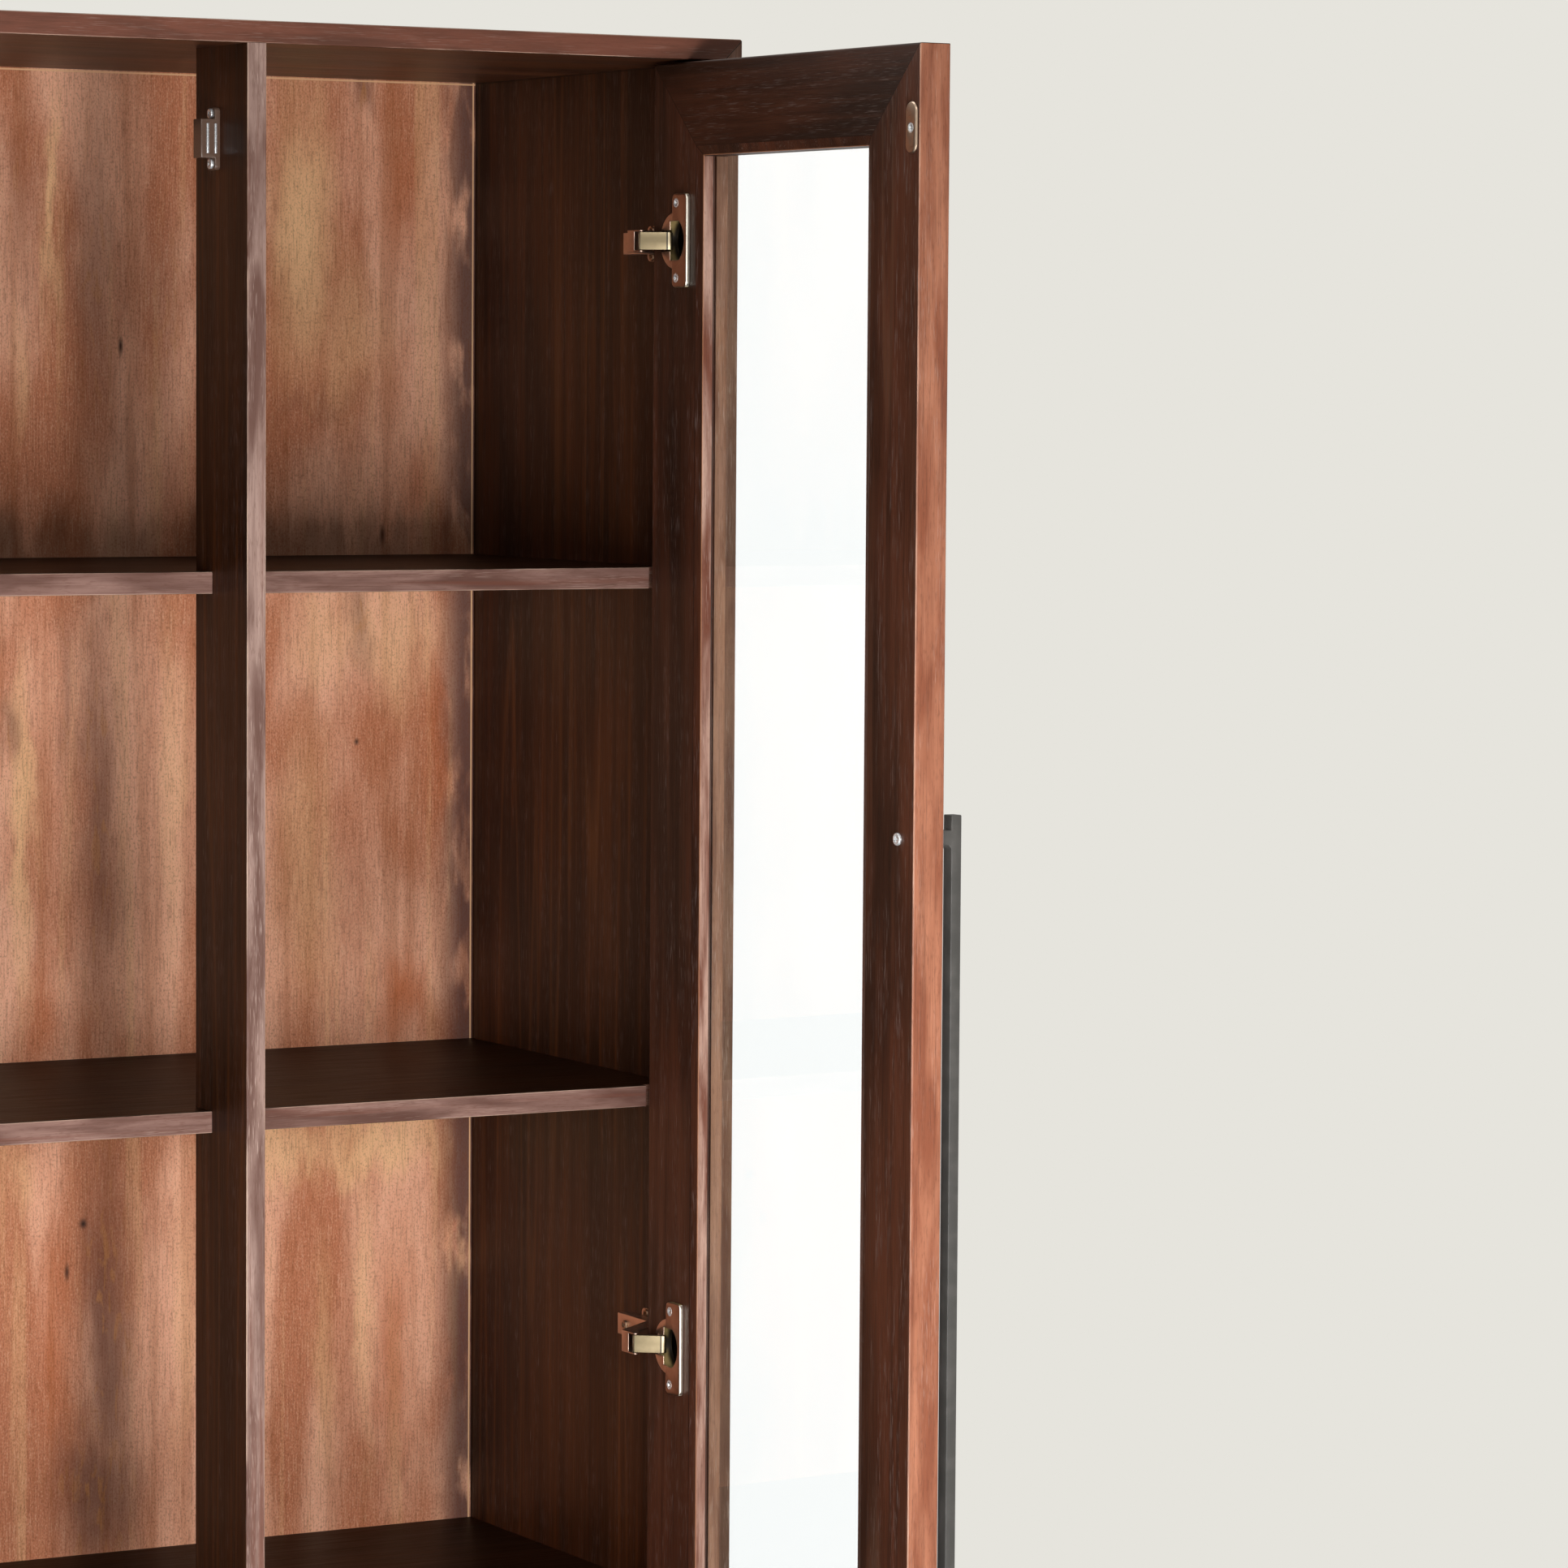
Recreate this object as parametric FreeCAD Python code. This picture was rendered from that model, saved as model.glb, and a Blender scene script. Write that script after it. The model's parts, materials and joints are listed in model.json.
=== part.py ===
"""Tall display cabinet with two glazed doors on concealed cup hinges, standing on a recessed plinth.

Frame: +X to the right, +Y to the back, +Z up, millimetres.  The origin is on the floor, in the middle of
the footprint.  The doors are modelled closed and then swung to their stored opening, both alike.
Near the doors two local directions are used: u runs from a side's inner face to the middle of the
cabinet, and d runs from the front plane to the back.  On a door, s runs from the hinge edge to the free
edge, t from its inner face to its outer face.
"""

import FreeCAD, Part
import math
import os

from FreeCAD import Vector

# ---------------------------------------------------------------- cabinet
cabinet_width = 740.0
cabinet_depth = 400.0
cabinet_height = 1900.0
board = 15.0                    # top, bottom and sides, mitred at the corners
corner_ease = 1.5               # chamfer down the four outer corners of the box
arris = 1.0                     # radius on the front arrises
plinth_height = 66.0
plinth_recess = 30.0            # front and sides
plinth_back_recess = 12.0
plinth_thick = 18.0
back_thick = 6.0
back_inset = 9.0                # from the rear edge of the boards to the panel's rear face
rabbet_bite = 8.0               # how far the panel runs into each board
panel_play = 0.5                # round the back panel in its rabbet

post_width = 14.0
post_depth = 84.0
tenon = 7.0                     # length of the post's stub tenons
tenon_shoulder = 3.0
tenon_depth = 50.0

shelf_thick = 15.0
shelf_first = 354.0             # clear height under the top board
shelf_last = 331.0              # clear height under the lowest shelf
shelf_count = 4                 # evenly spaced between those two
shelf_setback = 57.0            # front plane to the lipping
lipping = 6.0
lipping_stop = 26.0             # the lipping stops this far short of the sides
housing = 5.0                   # depth of the shelf housings in the sides

# ---------------------------------------------------------------- doors
door_thick = 24.0
door_recess = 17.0              # closed, the outer face sits this far behind the front plane
hinge_gap = 3.0
meeting_gap = 2.0               # to the centre post
head_gap = 2.0                  # above and below a door
door_arris = 1.5
frame_width = 65.0
rebate = 7.0
glass_thick = 4.0
glass_at = 11.0                 # inner face of the door to the glass
glass_play = 0.5
bead_bevel = 2.2
open_angle = 92.0

# ---------------------------------------------------------------- cup hinges
swing_s = 15.0                  # the door's turning line, from its hinge edge and inner face
swing_t = 13.7
cup_s = 31.0
cup_radius = 17.4
cup_depth = 12.5
cup_wall = 1.0
cup_flange = 19.7
flange_thick = 1.0
wing_length = 65.0
wing_width = 20.0
wing_thick = 3.4
wing_corner = 4.0
wing_ease = 0.6
mouth_from = 6.5                # the mouth runs from this far to the hinge side of the cup's centre
mouth_half = 13.5
link_slot = 7.3                 # half height of the slot that the link passes through
slot_depth = 2.5                # how far the slot cuts down the cup's wall
cup_screw_offset = 5.5
cup_screw_spacing = 52.0
hinge_end = 123.2               # door end to the outer hinges' centres
link_pin_u = 46.0               # the link's pin on the arm
link_pin_d = 34.0
link_end_s = 19.5               # the link's other end, in the cup of the open door
link_end_t = 2.0
pin_radius = 1.1
pin_play = 0.08
knuckle = 1.9
link_height = 12.4
link_sheet = 1.1
arm_sheet = 1.2
arm_play = 0.3                  # arm cheeks to the link
arm_web_d = 41.3                # the arm's web starts here, its cheeks reach on to the pin
arm_bend_d = 51.0
arm_foot_d = 78.0
arm_tail_d = 122.0
arm_foot_u = 13.5
arm_heel_d = 66.0
arm_throat_u = 38.0             # the cheeks' near edge behind the cup
arm_throat_d = 43.0
arm_screw_d = 110.0
adjust_screw_d = 90.0
plate_from_d = 70.0
plate_crest_d = 82.0
plate_to_d = 118.0
plate_half = 5.0
plate_base = 2.0
plate_wing_d = 99.0
plate_wing_width = 16.0
plate_wing_round = 4.0
plate_rim = 0.4                 # left free round the heads of the wing screws

# ---------------------------------------------------------------- small fittings
handle_length = 788.0
handle_edge = 19.0              # door's free edge to the middle of the bar
handle_width = 10.0
handle_bar = 8.0
handle_clear = 15.0             # door face to the bar
handle_post = 9.6
handle_overhang = 10.0
handle_fillet = 4.0
handle_ease = 0.8
handle_screw = 2.0
handle_head = 4.2
catch_drop = 62.2               # under the top board
catch_proud = 14.2
catch_front = 44.0
catch_deep = 13.0
catch_body = 26.0
catch_length = 42.0
catch_ear = 3.9
ear_round = 3.0
case_ease = 0.8
pole_length = 20.0
pole_thick = 1.4
pole_proud = 0.9
pole_deep = 7.0
pole_lines = (3.6, 9.4)         # of the pole plates from the post's face
catch_screw_inset = 4.2
strike_drop = 55.0              # door's top edge to the strike's centre
strike_edge = 8.2
strike_length = 34.0
strike_width = 13.0
strike_thick = 1.8
strike_ease = 0.8
sunk_head = 1.5                 # depth of a countersunk head
small_screw = 1.6
small_head = 3.4
small_head_thick = 1.6
small_screw_length = 14.0
back_screw_pitch = 280.0

# ---------------------------------------------------------------- derived
half_width = cabinet_width / 2
half_depth = cabinet_depth / 2
inner_half = half_width - board
ceiling = cabinet_height - board
floor_top = plinth_height + board
back_face = half_depth - back_inset - back_thick        # front face of the back panel
door_low = floor_top + head_gap
door_high = ceiling - head_gap
door_width = inner_half - hinge_gap - meeting_gap - post_width / 2
door_inner_d = door_recess + door_thick
handle_s = door_width - handle_edge
hinge_levels = [door_low + hinge_end, (door_low + door_high) / 2, door_high - hinge_end]
highest_shelf, lowest_shelf = ceiling - shelf_first, floor_top + shelf_last + shelf_thick
shelf_pitch = (highest_shelf - lowest_shelf) / (shelf_count - 1)
shelf_tops = [highest_shelf - i * shelf_pitch for i in range(shelf_count)]
arm_half = link_height / 2 + arm_play + arm_sheet
arm_nose_u = link_pin_u + knuckle
arm_screw_length = arm_foot_u - plate_base
plate_screw_half = plate_half + plate_rim + small_head
plate_wing_half = plate_screw_half + small_head + plate_rim
UP = Vector(0, 0, 1)


def box(x0, x1, y0, y1, z0, z1):
    return Part.makeBox(x1 - x0, y1 - y0, z1 - z0, Vector(x0, y0, z0))


def plate(points, direction):
    """A flat outline pushed along a direction."""
    return Part.Face(Part.makePolygon(points + points[:1])).extrude(direction)


def rod(radius, start, direction, length):
    return Part.makeCylinder(radius, length, start, direction)


def fuse(shapes):
    return shapes[0].multiFuse(shapes[1:]).removeSplitter()


def fillet_where(shape, radius, test):
    edges = [e for e in shape.Edges if test(e)]
    return shape.makeFillet(radius, edges)


def chamfer_where(shape, size, test):
    edges = [e for e in shape.Edges if test(e)]
    return shape.makeChamfer(size, edges)


def along(edge, axis):
    a, b = (v.Point for v in edge.Vertexes[:2])
    return abs(abs((b - a).normalize().dot(axis)) - 1) < 1e-6


def inner(u, d, z):
    """A point given from the right side's inner face and the front plane."""
    return Vector(inner_half - u, d - half_depth, z)


def on_door(s, t, z):
    """A point of the closed right door."""
    return inner(hinge_gap + s, door_inner_d - t, z)


def door_box(s0, s1, t0, t1, z0, z1):
    a, b = on_door(s0, t0, z0), on_door(s1, t1, z1)
    return box(b.x, a.x, b.y, a.y, z0, z1)


SWING = on_door(swing_s, swing_t, 0)
SIDEWAYS = Vector(1, 0, 0)      # from a door's cup line towards its hinge edge
OUTWARD = Vector(0, -1, 0)      # from a door's inner face to its outer face


def swung(shape):
    """Opens a right-hand door piece to the stored angle."""
    turned = shape.copy()
    turned.rotate(SWING, UP, open_angle)
    return turned


def swung_point(point):
    turn = FreeCAD.Rotation(UP, open_angle)
    return SWING + turn.multVec(Vector(point.x, point.y, 0) - SWING) + UP * point.z


def mirrored(shape):
    return shape.mirror(Vector(0, 0, 0), SIDEWAYS)


def save(name, solids):
    shape = solids[0] if len(solids) == 1 else Part.makeCompound(solids)
    shape.exportStep("parts/" + name + ".step")


def save_pair(name, solids):
    save("right_" + name, solids)
    save("left_" + name, [mirrored(s) for s in solids])


# ---------------------------------------------------------------- the box
def ring_member(x_half, z_low, z_high, thick, side, y0, y1):
    """One mitred board of an upright rectangular ring: top, bottom or right."""
    xi, zl, zh = x_half - thick, z_low + thick, z_high - thick
    outlines = {
        "top": [(-x_half, z_high), (x_half, z_high), (xi, zh), (-xi, zh)],
        "bottom": [(-x_half, z_low), (-xi, zl), (xi, zl), (x_half, z_low)],
        "right": [(x_half, z_low), (xi, zl), (xi, zh), (x_half, z_high)],
    }
    points = [Vector(x, y0, z) for x, z in outlines[side]]
    return plate(points, Vector(0, y1 - y0, 0))


def rear_rabbet():
    bite = rabbet_bite
    return box(-inner_half - bite, inner_half + bite, back_face, half_depth,
               floor_top - bite, ceiling + bite)


def corner_cuts():
    """Four slim prisms that take the sharp outer corners off the box."""
    cuts = []
    for sx in (-1, 1):
        for z, sz in ((cabinet_height, 1), (plinth_height, -1)):
            corner = [Vector(sx * half_width, -half_depth, z),
                      Vector(sx * (half_width - corner_ease), -half_depth, z),
                      Vector(sx * half_width, -half_depth, z - sz * corner_ease)]
            cuts.append(plate(corner, Vector(0, cabinet_depth, 0)))
    return cuts


def post():
    body = box(-post_width / 2, post_width / 2, -half_depth, -half_depth + post_depth, floor_top, ceiling)
    body = fillet_where(body, arris, lambda e: along(e, UP) and e.CenterOfMass.y < -half_depth + 1)
    middle = -half_depth + post_depth / 2
    stub = box(-post_width / 2 + tenon_shoulder, post_width / 2 - tenon_shoulder,
               middle - tenon_depth / 2, middle + tenon_depth / 2, floor_top - tenon, ceiling + tenon)
    return body.fuse(stub).removeSplitter()


def shelf_board(top):
    """A shelf with housed ends, cut round the centre post; the lipping is separate."""
    y0 = -half_depth + shelf_setback + lipping
    blank = box(-inner_half - housing, inner_half + housing, y0, back_face, top - shelf_thick, top)
    notch = box(-post_width / 2, post_width / 2, y0, -half_depth + post_depth, top - shelf_thick, top)
    return blank.cut(notch)


def shelf_lipping(top):
    """The solid front edge of one half shelf, right of the post."""
    y0 = -half_depth + shelf_setback
    strip = box(post_width / 2, inner_half - lipping_stop, y0, y0 + lipping, top - shelf_thick, top)
    return fillet_where(strip, arris, lambda e: along(e, SIDEWAYS) and e.CenterOfMass.y < y0 + 0.1)


def front_arris(edge):
    on_front = abs(edge.CenterOfMass.y + half_depth) < 1e-6
    return on_front and (along(edge, SIDEWAYS) or along(edge, UP))


def carcass():
    rabbet, cuts, centre = rear_rabbet(), corner_cuts(), post()
    shelves = [shelf_board(z) for z in shelf_tops]
    pilots = [rod(small_screw, p, SIDEWAYS, small_screw_length) for p in plate_screw_points()]
    for name, side in (("top_board", "top"), ("bottom_board", "bottom"), ("right_side", "right")):
        member = ring_member(half_width, plinth_height, cabinet_height, board, side, -half_depth, half_depth)
        member = fillet_where(member, arris, front_arris)
        member = member.cut([rabbet] + cuts + [centre] + shelves + pilots)
        save(name, [member])
        if side == "right":
            save("left_side", [mirrored(member)])
    save("centre_post", [centre])
    for number, shelf in enumerate(shelves, 1):
        save("shelf_%d" % number, [shelf])
    strips = [shelf_lipping(z) for z in shelf_tops]
    save("shelf_lippings", strips + [mirrored(s) for s in strips])


def back_panel():
    reach = inner_half + rabbet_bite - panel_play
    low, high = floor_top - rabbet_bite + panel_play, ceiling + rabbet_bite - panel_play
    panel = box(-reach, reach, back_face, back_face + back_thick, low, high)
    spots = []
    count = int((high - low) / back_screw_pitch) + 1
    edge = inner_half + rabbet_bite / 2
    for i in range(count):
        z = low + (i + 0.5) * (high - low) / count
        spots += [(edge, z), (-edge, z)]
    for x in (-inner_half / 2, inner_half / 2):
        spots += [(x, ceiling + rabbet_bite / 2), (x, floor_top - rabbet_bite / 2)]
    heads = [rod(small_head, Vector(x, back_face + back_thick, z), Vector(0, 1, 0), small_head_thick)
             for x, z in spots]
    save("back_panel", [panel])
    save("back_panel_screws", heads)


def plinth():
    x = half_width - plinth_recess
    y0, y1 = -half_depth + plinth_recess, half_depth - plinth_back_recess
    t, h = plinth_thick, plinth_height
    save("plinth_front_rail", [box(-x, x, y0, y0 + t, 0, h)])
    save("plinth_back_rail", [box(-x, x, y1 - t, y1, 0, h)])
    save("plinth_side_rails", [box(x - t, x, y0 + t, y1 - t, 0, h), box(-x, -x + t, y0 + t, y1 - t, 0, h)])
    save("plinth_centre_rail", [box(-t / 2, t / 2, y0 + t, y1 - t, 0, h)])


# ---------------------------------------------------------------- doors
def mitred(outset, width, side, t0, t1):
    """A mitred length of a rectangular ring on the door; outset is its outer edge from the door's edge."""
    s0, s1 = outset, door_width - outset
    z0, z1 = door_low + outset, door_high - outset
    si, sj, zi, zj = s0 + width, s1 - width, z0 + width, z1 - width
    outlines = {
        "hinge": [(s0, z0), (si, zi), (si, zj), (s0, z1)],
        "free": [(s1, z0), (sj, zi), (sj, zj), (s1, z1)],
        "top": [(s0, z1), (s1, z1), (sj, zj), (si, zj)],
        "bottom": [(s0, z0), (s1, z0), (sj, zi), (si, zi)],
    }
    points = [on_door(s, t0, z) for s, z in outlines[side]]
    return plate(points, OUTWARD * (t1 - t0))


def outer_arris(side):
    """Picks the long edges on the rim of one door member."""
    def test(edge):
        c = edge.CenterOfMass
        s = inner_half - hinge_gap - c.x
        if side == "hinge":
            return along(edge, UP) and s < 0.1
        if side == "free":
            return along(edge, UP) and s > door_width - 0.1
        rim = door_high if side == "top" else door_low
        return along(edge, SIDEWAYS) and abs(c.z - rim) < 0.1
    return test


def cup_point(level, t=0.0):
    return on_door(cup_s, t, level)


def cup_screw_points():
    s = cup_s + cup_screw_offset
    half = cup_screw_spacing / 2
    return [on_door(s, -wing_thick, z + k * half) for z in hinge_levels for k in (-1, 1)]


def screw(start, direction, length=small_screw_length):
    """A small pan head screw; start is where the head seats and direction is the way in."""
    head = rod(small_head, start - direction * small_head_thick, direction, small_head_thick)
    return fuse([head, rod(small_screw, start, direction, length)])


def sunk_screw(start, direction, length=small_screw_length):
    """A countersunk screw whose head ends flush at its start."""
    cone = Part.makeCone(small_head, small_screw, sunk_head, start, direction)
    return fuse([cone, rod(small_screw, start, direction, length)])


def handle_screw_points():
    middle = (door_low + door_high) / 2
    reach = handle_length / 2 - handle_overhang - handle_post / 2
    return [on_door(handle_s, 0, middle + k * reach) for k in (-1, 1)]


def strike_point():
    return on_door(door_width - strike_edge, 0, door_high - strike_drop)


def door_frame():
    cutters = [door_box(frame_width - rebate, door_width - frame_width + rebate, 0, glass_at + glass_thick,
                        door_low + frame_width - rebate, door_high - frame_width + rebate)]
    holes = [rod(cup_radius, cup_point(z), OUTWARD, cup_depth) for z in hinge_levels]
    holes += [rod(small_screw, p, OUTWARD, small_screw_length + wing_thick) for p in cup_screw_points()]
    holes += [rod(handle_screw, p, OUTWARD, door_thick) for p in handle_screw_points()]
    holes += [rod(small_screw, strike_point(), OUTWARD, small_screw_length - strike_thick)]
    for name, side in (("hinge_stile", "hinge"), ("free_stile", "free"),
                       ("top_rail", "top"), ("bottom_rail", "bottom")):
        member = mitred(0, frame_width, side, 0, door_thick)
        member = fillet_where(member, door_arris, outer_arris(side))
        member = member.cut(cutters + (holes if "stile" in name else []))
        save_pair(name, [swung(member)])


def glazing():
    edge = frame_width - rebate + glass_play
    pane = door_box(edge, door_width - edge, glass_at, glass_at + glass_thick,
                    door_low + edge, door_high - edge)
    save_pair("glass", [swung(pane)])
    sticks = []
    for side in ("hinge", "free", "top", "bottom"):
        stick = mitred(frame_width - rebate, rebate, side, 0, glass_at)
        sticks.append(swung(stick.cut(bead_bevels(side))))
    save_pair("glazing_beads", sticks)


def bead_bevels(side):
    """The wedge planed off a bead's face, falling towards the glass."""
    s0, s1 = frame_width - rebate, door_width - frame_width + rebate
    z0, z1 = door_low + frame_width - rebate, door_high - frame_width + rebate
    if side in ("hinge", "free"):
        s, k = (s0, 1) if side == "hinge" else (s1, -1)
        outline = [on_door(s, 0, z0), on_door(s + k * rebate, 0, z0), on_door(s + k * rebate, bead_bevel, z0)]
        return plate(outline, UP * (z1 - z0))
    z, k = (z1, -1) if side == "top" else (z0, 1)
    outline = [on_door(s1, 0, z), on_door(s1, 0, z + k * rebate), on_door(s1, bead_bevel, z + k * rebate)]
    return plate(outline, SIDEWAYS * (s1 - s0))


def handle():
    """A flat bar on two square posts, drawn as one profile and pushed sideways."""
    low = (door_low + door_high - handle_length) / 2
    high = low + handle_length
    t0, t1 = door_thick, door_thick + handle_clear
    t2 = t1 + handle_bar
    a, b = low + handle_overhang, high - handle_overhang
    a1, b1 = a + handle_post, b - handle_post
    profile = [(low, t1), (a, t1), (a, t0), (a1, t0), (a1, t1),
               (b1, t1), (b1, t0), (b, t0), (b, t1), (high, t1), (high, t2), (low, t2)]
    s = handle_s - handle_width / 2
    points = [on_door(s, t, z) for z, t in profile]
    bar = plate(points, -SIDEWAYS * handle_width)
    inside = {round(a1, 3), round(b1, 3)}
    y_bar = on_door(s, t1, 0).y
    bar = fillet_where(bar, handle_fillet, lambda e: along(e, SIDEWAYS) and abs(e.CenterOfMass.y - y_bar) < 0.01
                       and round(e.CenterOfMass.z, 3) in inside)
    y_face = on_door(s, t2, 0).y
    bar = fillet_where(bar, handle_ease, lambda e: abs(e.CenterOfMass.y - y_face) < 0.01)
    depth = handle_clear + handle_bar / 2
    holes = [rod(handle_screw, p + OUTWARD * door_thick, OUTWARD, depth) for p in handle_screw_points()]
    bolts = []
    for p in handle_screw_points():
        head = rod(handle_head, p - OUTWARD * small_head_thick, OUTWARD, small_head_thick)
        bolts.append(swung(head.fuse(rod(handle_screw, p, OUTWARD, door_thick + depth)).removeSplitter()))
    save_pair("handle", [swung(bar.cut(holes))])
    save_pair("handle_screws", bolts)


def strike():
    centre = strike_point()
    half, r = strike_length / 2 - strike_width / 2, strike_width / 2
    start = centre - OUTWARD * strike_thick
    ends = [rod(r, start + UP * (k * half), OUTWARD, strike_thick) for k in (-1, 1)]
    middle = box(centre.x - r, centre.x + r, centre.y, centre.y + strike_thick,
                 centre.z - half, centre.z + half)
    body = fuse([middle] + ends)
    body = chamfer_where(body, strike_ease, lambda e: e.CenterOfMass.y > centre.y + strike_thick - 0.01)
    fixing = sunk_screw(start, OUTWARD)
    save_pair("strike_plate", [swung(body.cut(fixing))])
    save_pair("strike_screw", [swung(fixing)])


# ---------------------------------------------------------------- hinges
def cup(level):
    """The pressed cup with its flange, its raised wing plate and its mouth."""
    centre = cup_point(level)
    outer = rod(cup_radius, centre, OUTWARD, cup_depth)
    flange = rod(cup_flange, centre - OUTWARD * flange_thick, OUTWARD, flange_thick)
    a = on_door(cup_s, -wing_thick, level)
    wing = box(a.x - wing_width, a.x, a.y - wing_thick, a.y, level - wing_length / 2, level + wing_length / 2)
    wing = fillet_where(wing, wing_corner, lambda e: along(e, OUTWARD))
    wing = chamfer_where(wing, wing_ease, lambda e: abs(e.CenterOfMass.y - a.y) < 0.01)
    hollow = rod(cup_radius - cup_wall, centre - OUTWARD * wing_thick, OUTWARD,
                 wing_thick + cup_depth - cup_wall)
    mouth = box(centre.x - cup_flange, centre.x + mouth_from, a.y - wing_thick, a.y,
                level - mouth_half, level + mouth_half)
    slot = box(centre.x, centre.x + cup_flange, centre.y - slot_depth, a.y,
               level - link_slot, level + link_slot)
    inside = rod(cup_radius - cup_wall, centre, OUTWARD, cup_depth - cup_wall)
    body = fuse([outer, flange, wing]).cut([inside, hollow.common(mouth), slot])
    return body.cut([sunk_screw(p, OUTWARD, wing_thick) for p in cup_screw_points()])


def bar_between(a, b, radius, low, high):
    """A round-ended bar between two upright axes."""
    way = (b - a).normalize()
    across = UP.cross(way) * radius
    lift, rise = UP * low, UP * (high - low)
    body = plate([p + lift for p in (a + across, b + across, b - across, a - across)], rise)
    return fuse([body] + [rod(radius, p + lift, UP, high - low) for p in (a, b)])


def hinge_link(level):
    """A pressed channel: its web faces the room, one end turns on the arm's pin, the other lies in the cup."""
    a, b = inner(link_pin_u, link_pin_d, 0), swung_point(on_door(link_end_s, link_end_t, 0))
    low, high = level - link_height / 2, level + link_height / 2
    blank = bar_between(a, b, knuckle, low, high)
    way = (b - a).normalize()
    back = UP.cross(way)                      # away from the web
    c, e = a - way * knuckle * 2, b + way * knuckle * 2
    r = knuckle - link_sheet
    room = [c - back * r, e - back * r, e + back * knuckle * 2, c + back * knuckle * 2]
    hollow = plate([p + UP * (low + link_sheet) for p in room], UP * (link_height - 2 * link_sheet))
    hole = rod(pin_radius + pin_play, a + UP * low, UP, link_height)
    end = rod(knuckle, b + UP * low, UP, link_height)
    return blank.cut([hollow, hole]).fuse(end).removeSplitter()


def offset_bend(before, corner, after, distance):
    """Where two plan lines meet when both move to their left by a distance."""
    turn = math.atan2(after[1] - corner[1], after[0] - corner[0])
    turn -= math.atan2(corner[1] - before[1], corner[0] - before[0])
    way = math.atan2(corner[1] - before[1], corner[0] - before[0])
    slide = -distance * math.tan(turn / 2)
    return (corner[0] - distance * math.sin(way) + slide * math.cos(way),
            corner[1] + distance * math.cos(way) + slide * math.sin(way))


def arm(level):
    """A cranked channel: one web towards the room and two cheeks that reach over the mounting plate."""
    web = [(arm_nose_u, arm_web_d), (arm_nose_u, arm_bend_d),
           (arm_foot_u, arm_foot_d), (arm_foot_u, arm_tail_d)]
    cheek_u = plate_base + small_head_thick + plate_rim
    near = [(cheek_u, arm_tail_d), (cheek_u, arm_heel_d),
            (arm_throat_u, arm_throat_d), (link_pin_u - knuckle, link_pin_d)]
    outline = [(arm_nose_u, link_pin_d)] + web[1:] + near
    low, high = level - arm_half, level + arm_half
    pin_foot = inner(link_pin_u, link_pin_d, low)
    blank = fuse([plate([inner(u, d, low) for u, d in outline], UP * (high - low)),
                  rod(knuckle, pin_foot, UP, high - low)])
    bends = [offset_bend(*web[i:i + 3], arm_sheet) for i in (0, 1)]
    past = arm_tail_d + arm_sheet
    room = [(arm_nose_u + knuckle, 0), (arm_nose_u + knuckle, arm_web_d), (arm_nose_u - arm_sheet, arm_web_d)]
    room += bends + [(arm_foot_u - arm_sheet, past), (0, past), (0, 0)]
    hollow = plate([inner(u, d, low + arm_sheet) for u, d in room], UP * (high - low - 2 * arm_sheet))
    holes = [rod(small_screw, inner(arm_foot_u, d, level), SIDEWAYS, arm_sheet)
             for d in (adjust_screw_d, arm_screw_d)]
    return blank.cut([hollow] + holes).fuse(rod(pin_radius, pin_foot, UP, high - low)).removeSplitter()


def plate_screw_points():
    return [inner(plate_base, plate_wing_d, z + k * plate_screw_half) for z in hinge_levels for k in (-1, 1)]


def mounting_plate(level):
    """A ridge that carries the arm, on a base with two screw wings."""
    ridge_u = arm_foot_u - arm_sheet
    ridge = plate([inner(u, d, level - plate_half) for u, d in
                   ((0, plate_from_d), (0, plate_to_d), (ridge_u, plate_to_d), (ridge_u, plate_crest_d),
                    (plate_base, plate_from_d))], UP * 2 * plate_half)
    d0, d1 = plate_wing_d - plate_wing_width / 2, plate_wing_d + plate_wing_width / 2
    a, b = inner(0, d0, 0), inner(plate_base, d1, 0)
    wing = box(b.x, a.x, a.y, b.y, level - plate_wing_half, level + plate_wing_half)
    wing = fillet_where(wing, plate_wing_round, lambda e: along(e, SIDEWAYS))
    holes = [rod(small_screw, inner(plate_base, plate_wing_d, level + k * plate_screw_half),
                 SIDEWAYS, plate_base) for k in (-1, 1)]
    depth = arm_screw_length - arm_sheet
    holes += [rod(small_screw, inner(ridge_u, d, level), SIDEWAYS, depth)
              for d in (adjust_screw_d, arm_screw_d)]
    return fuse([ridge, wing]).cut(holes)


def hinges():
    save_pair("hinge_cups", [swung(cup(z)) for z in hinge_levels])
    save_pair("cup_screws", [swung(sunk_screw(p, OUTWARD, small_screw_length + wing_thick))
                             for p in cup_screw_points()])
    save_pair("hinge_links", [hinge_link(z) for z in hinge_levels])
    save_pair("hinge_arms", [arm(z) for z in hinge_levels])
    save_pair("hinge_plates", [mounting_plate(z) for z in hinge_levels])
    save_pair("plate_screws", [screw(p, SIDEWAYS) for p in plate_screw_points()])
    save_pair("arm_screws", [screw(inner(arm_foot_u, d, z), SIDEWAYS, arm_screw_length)
                             for z in hinge_levels for d in (adjust_screw_d, arm_screw_d)])


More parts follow.
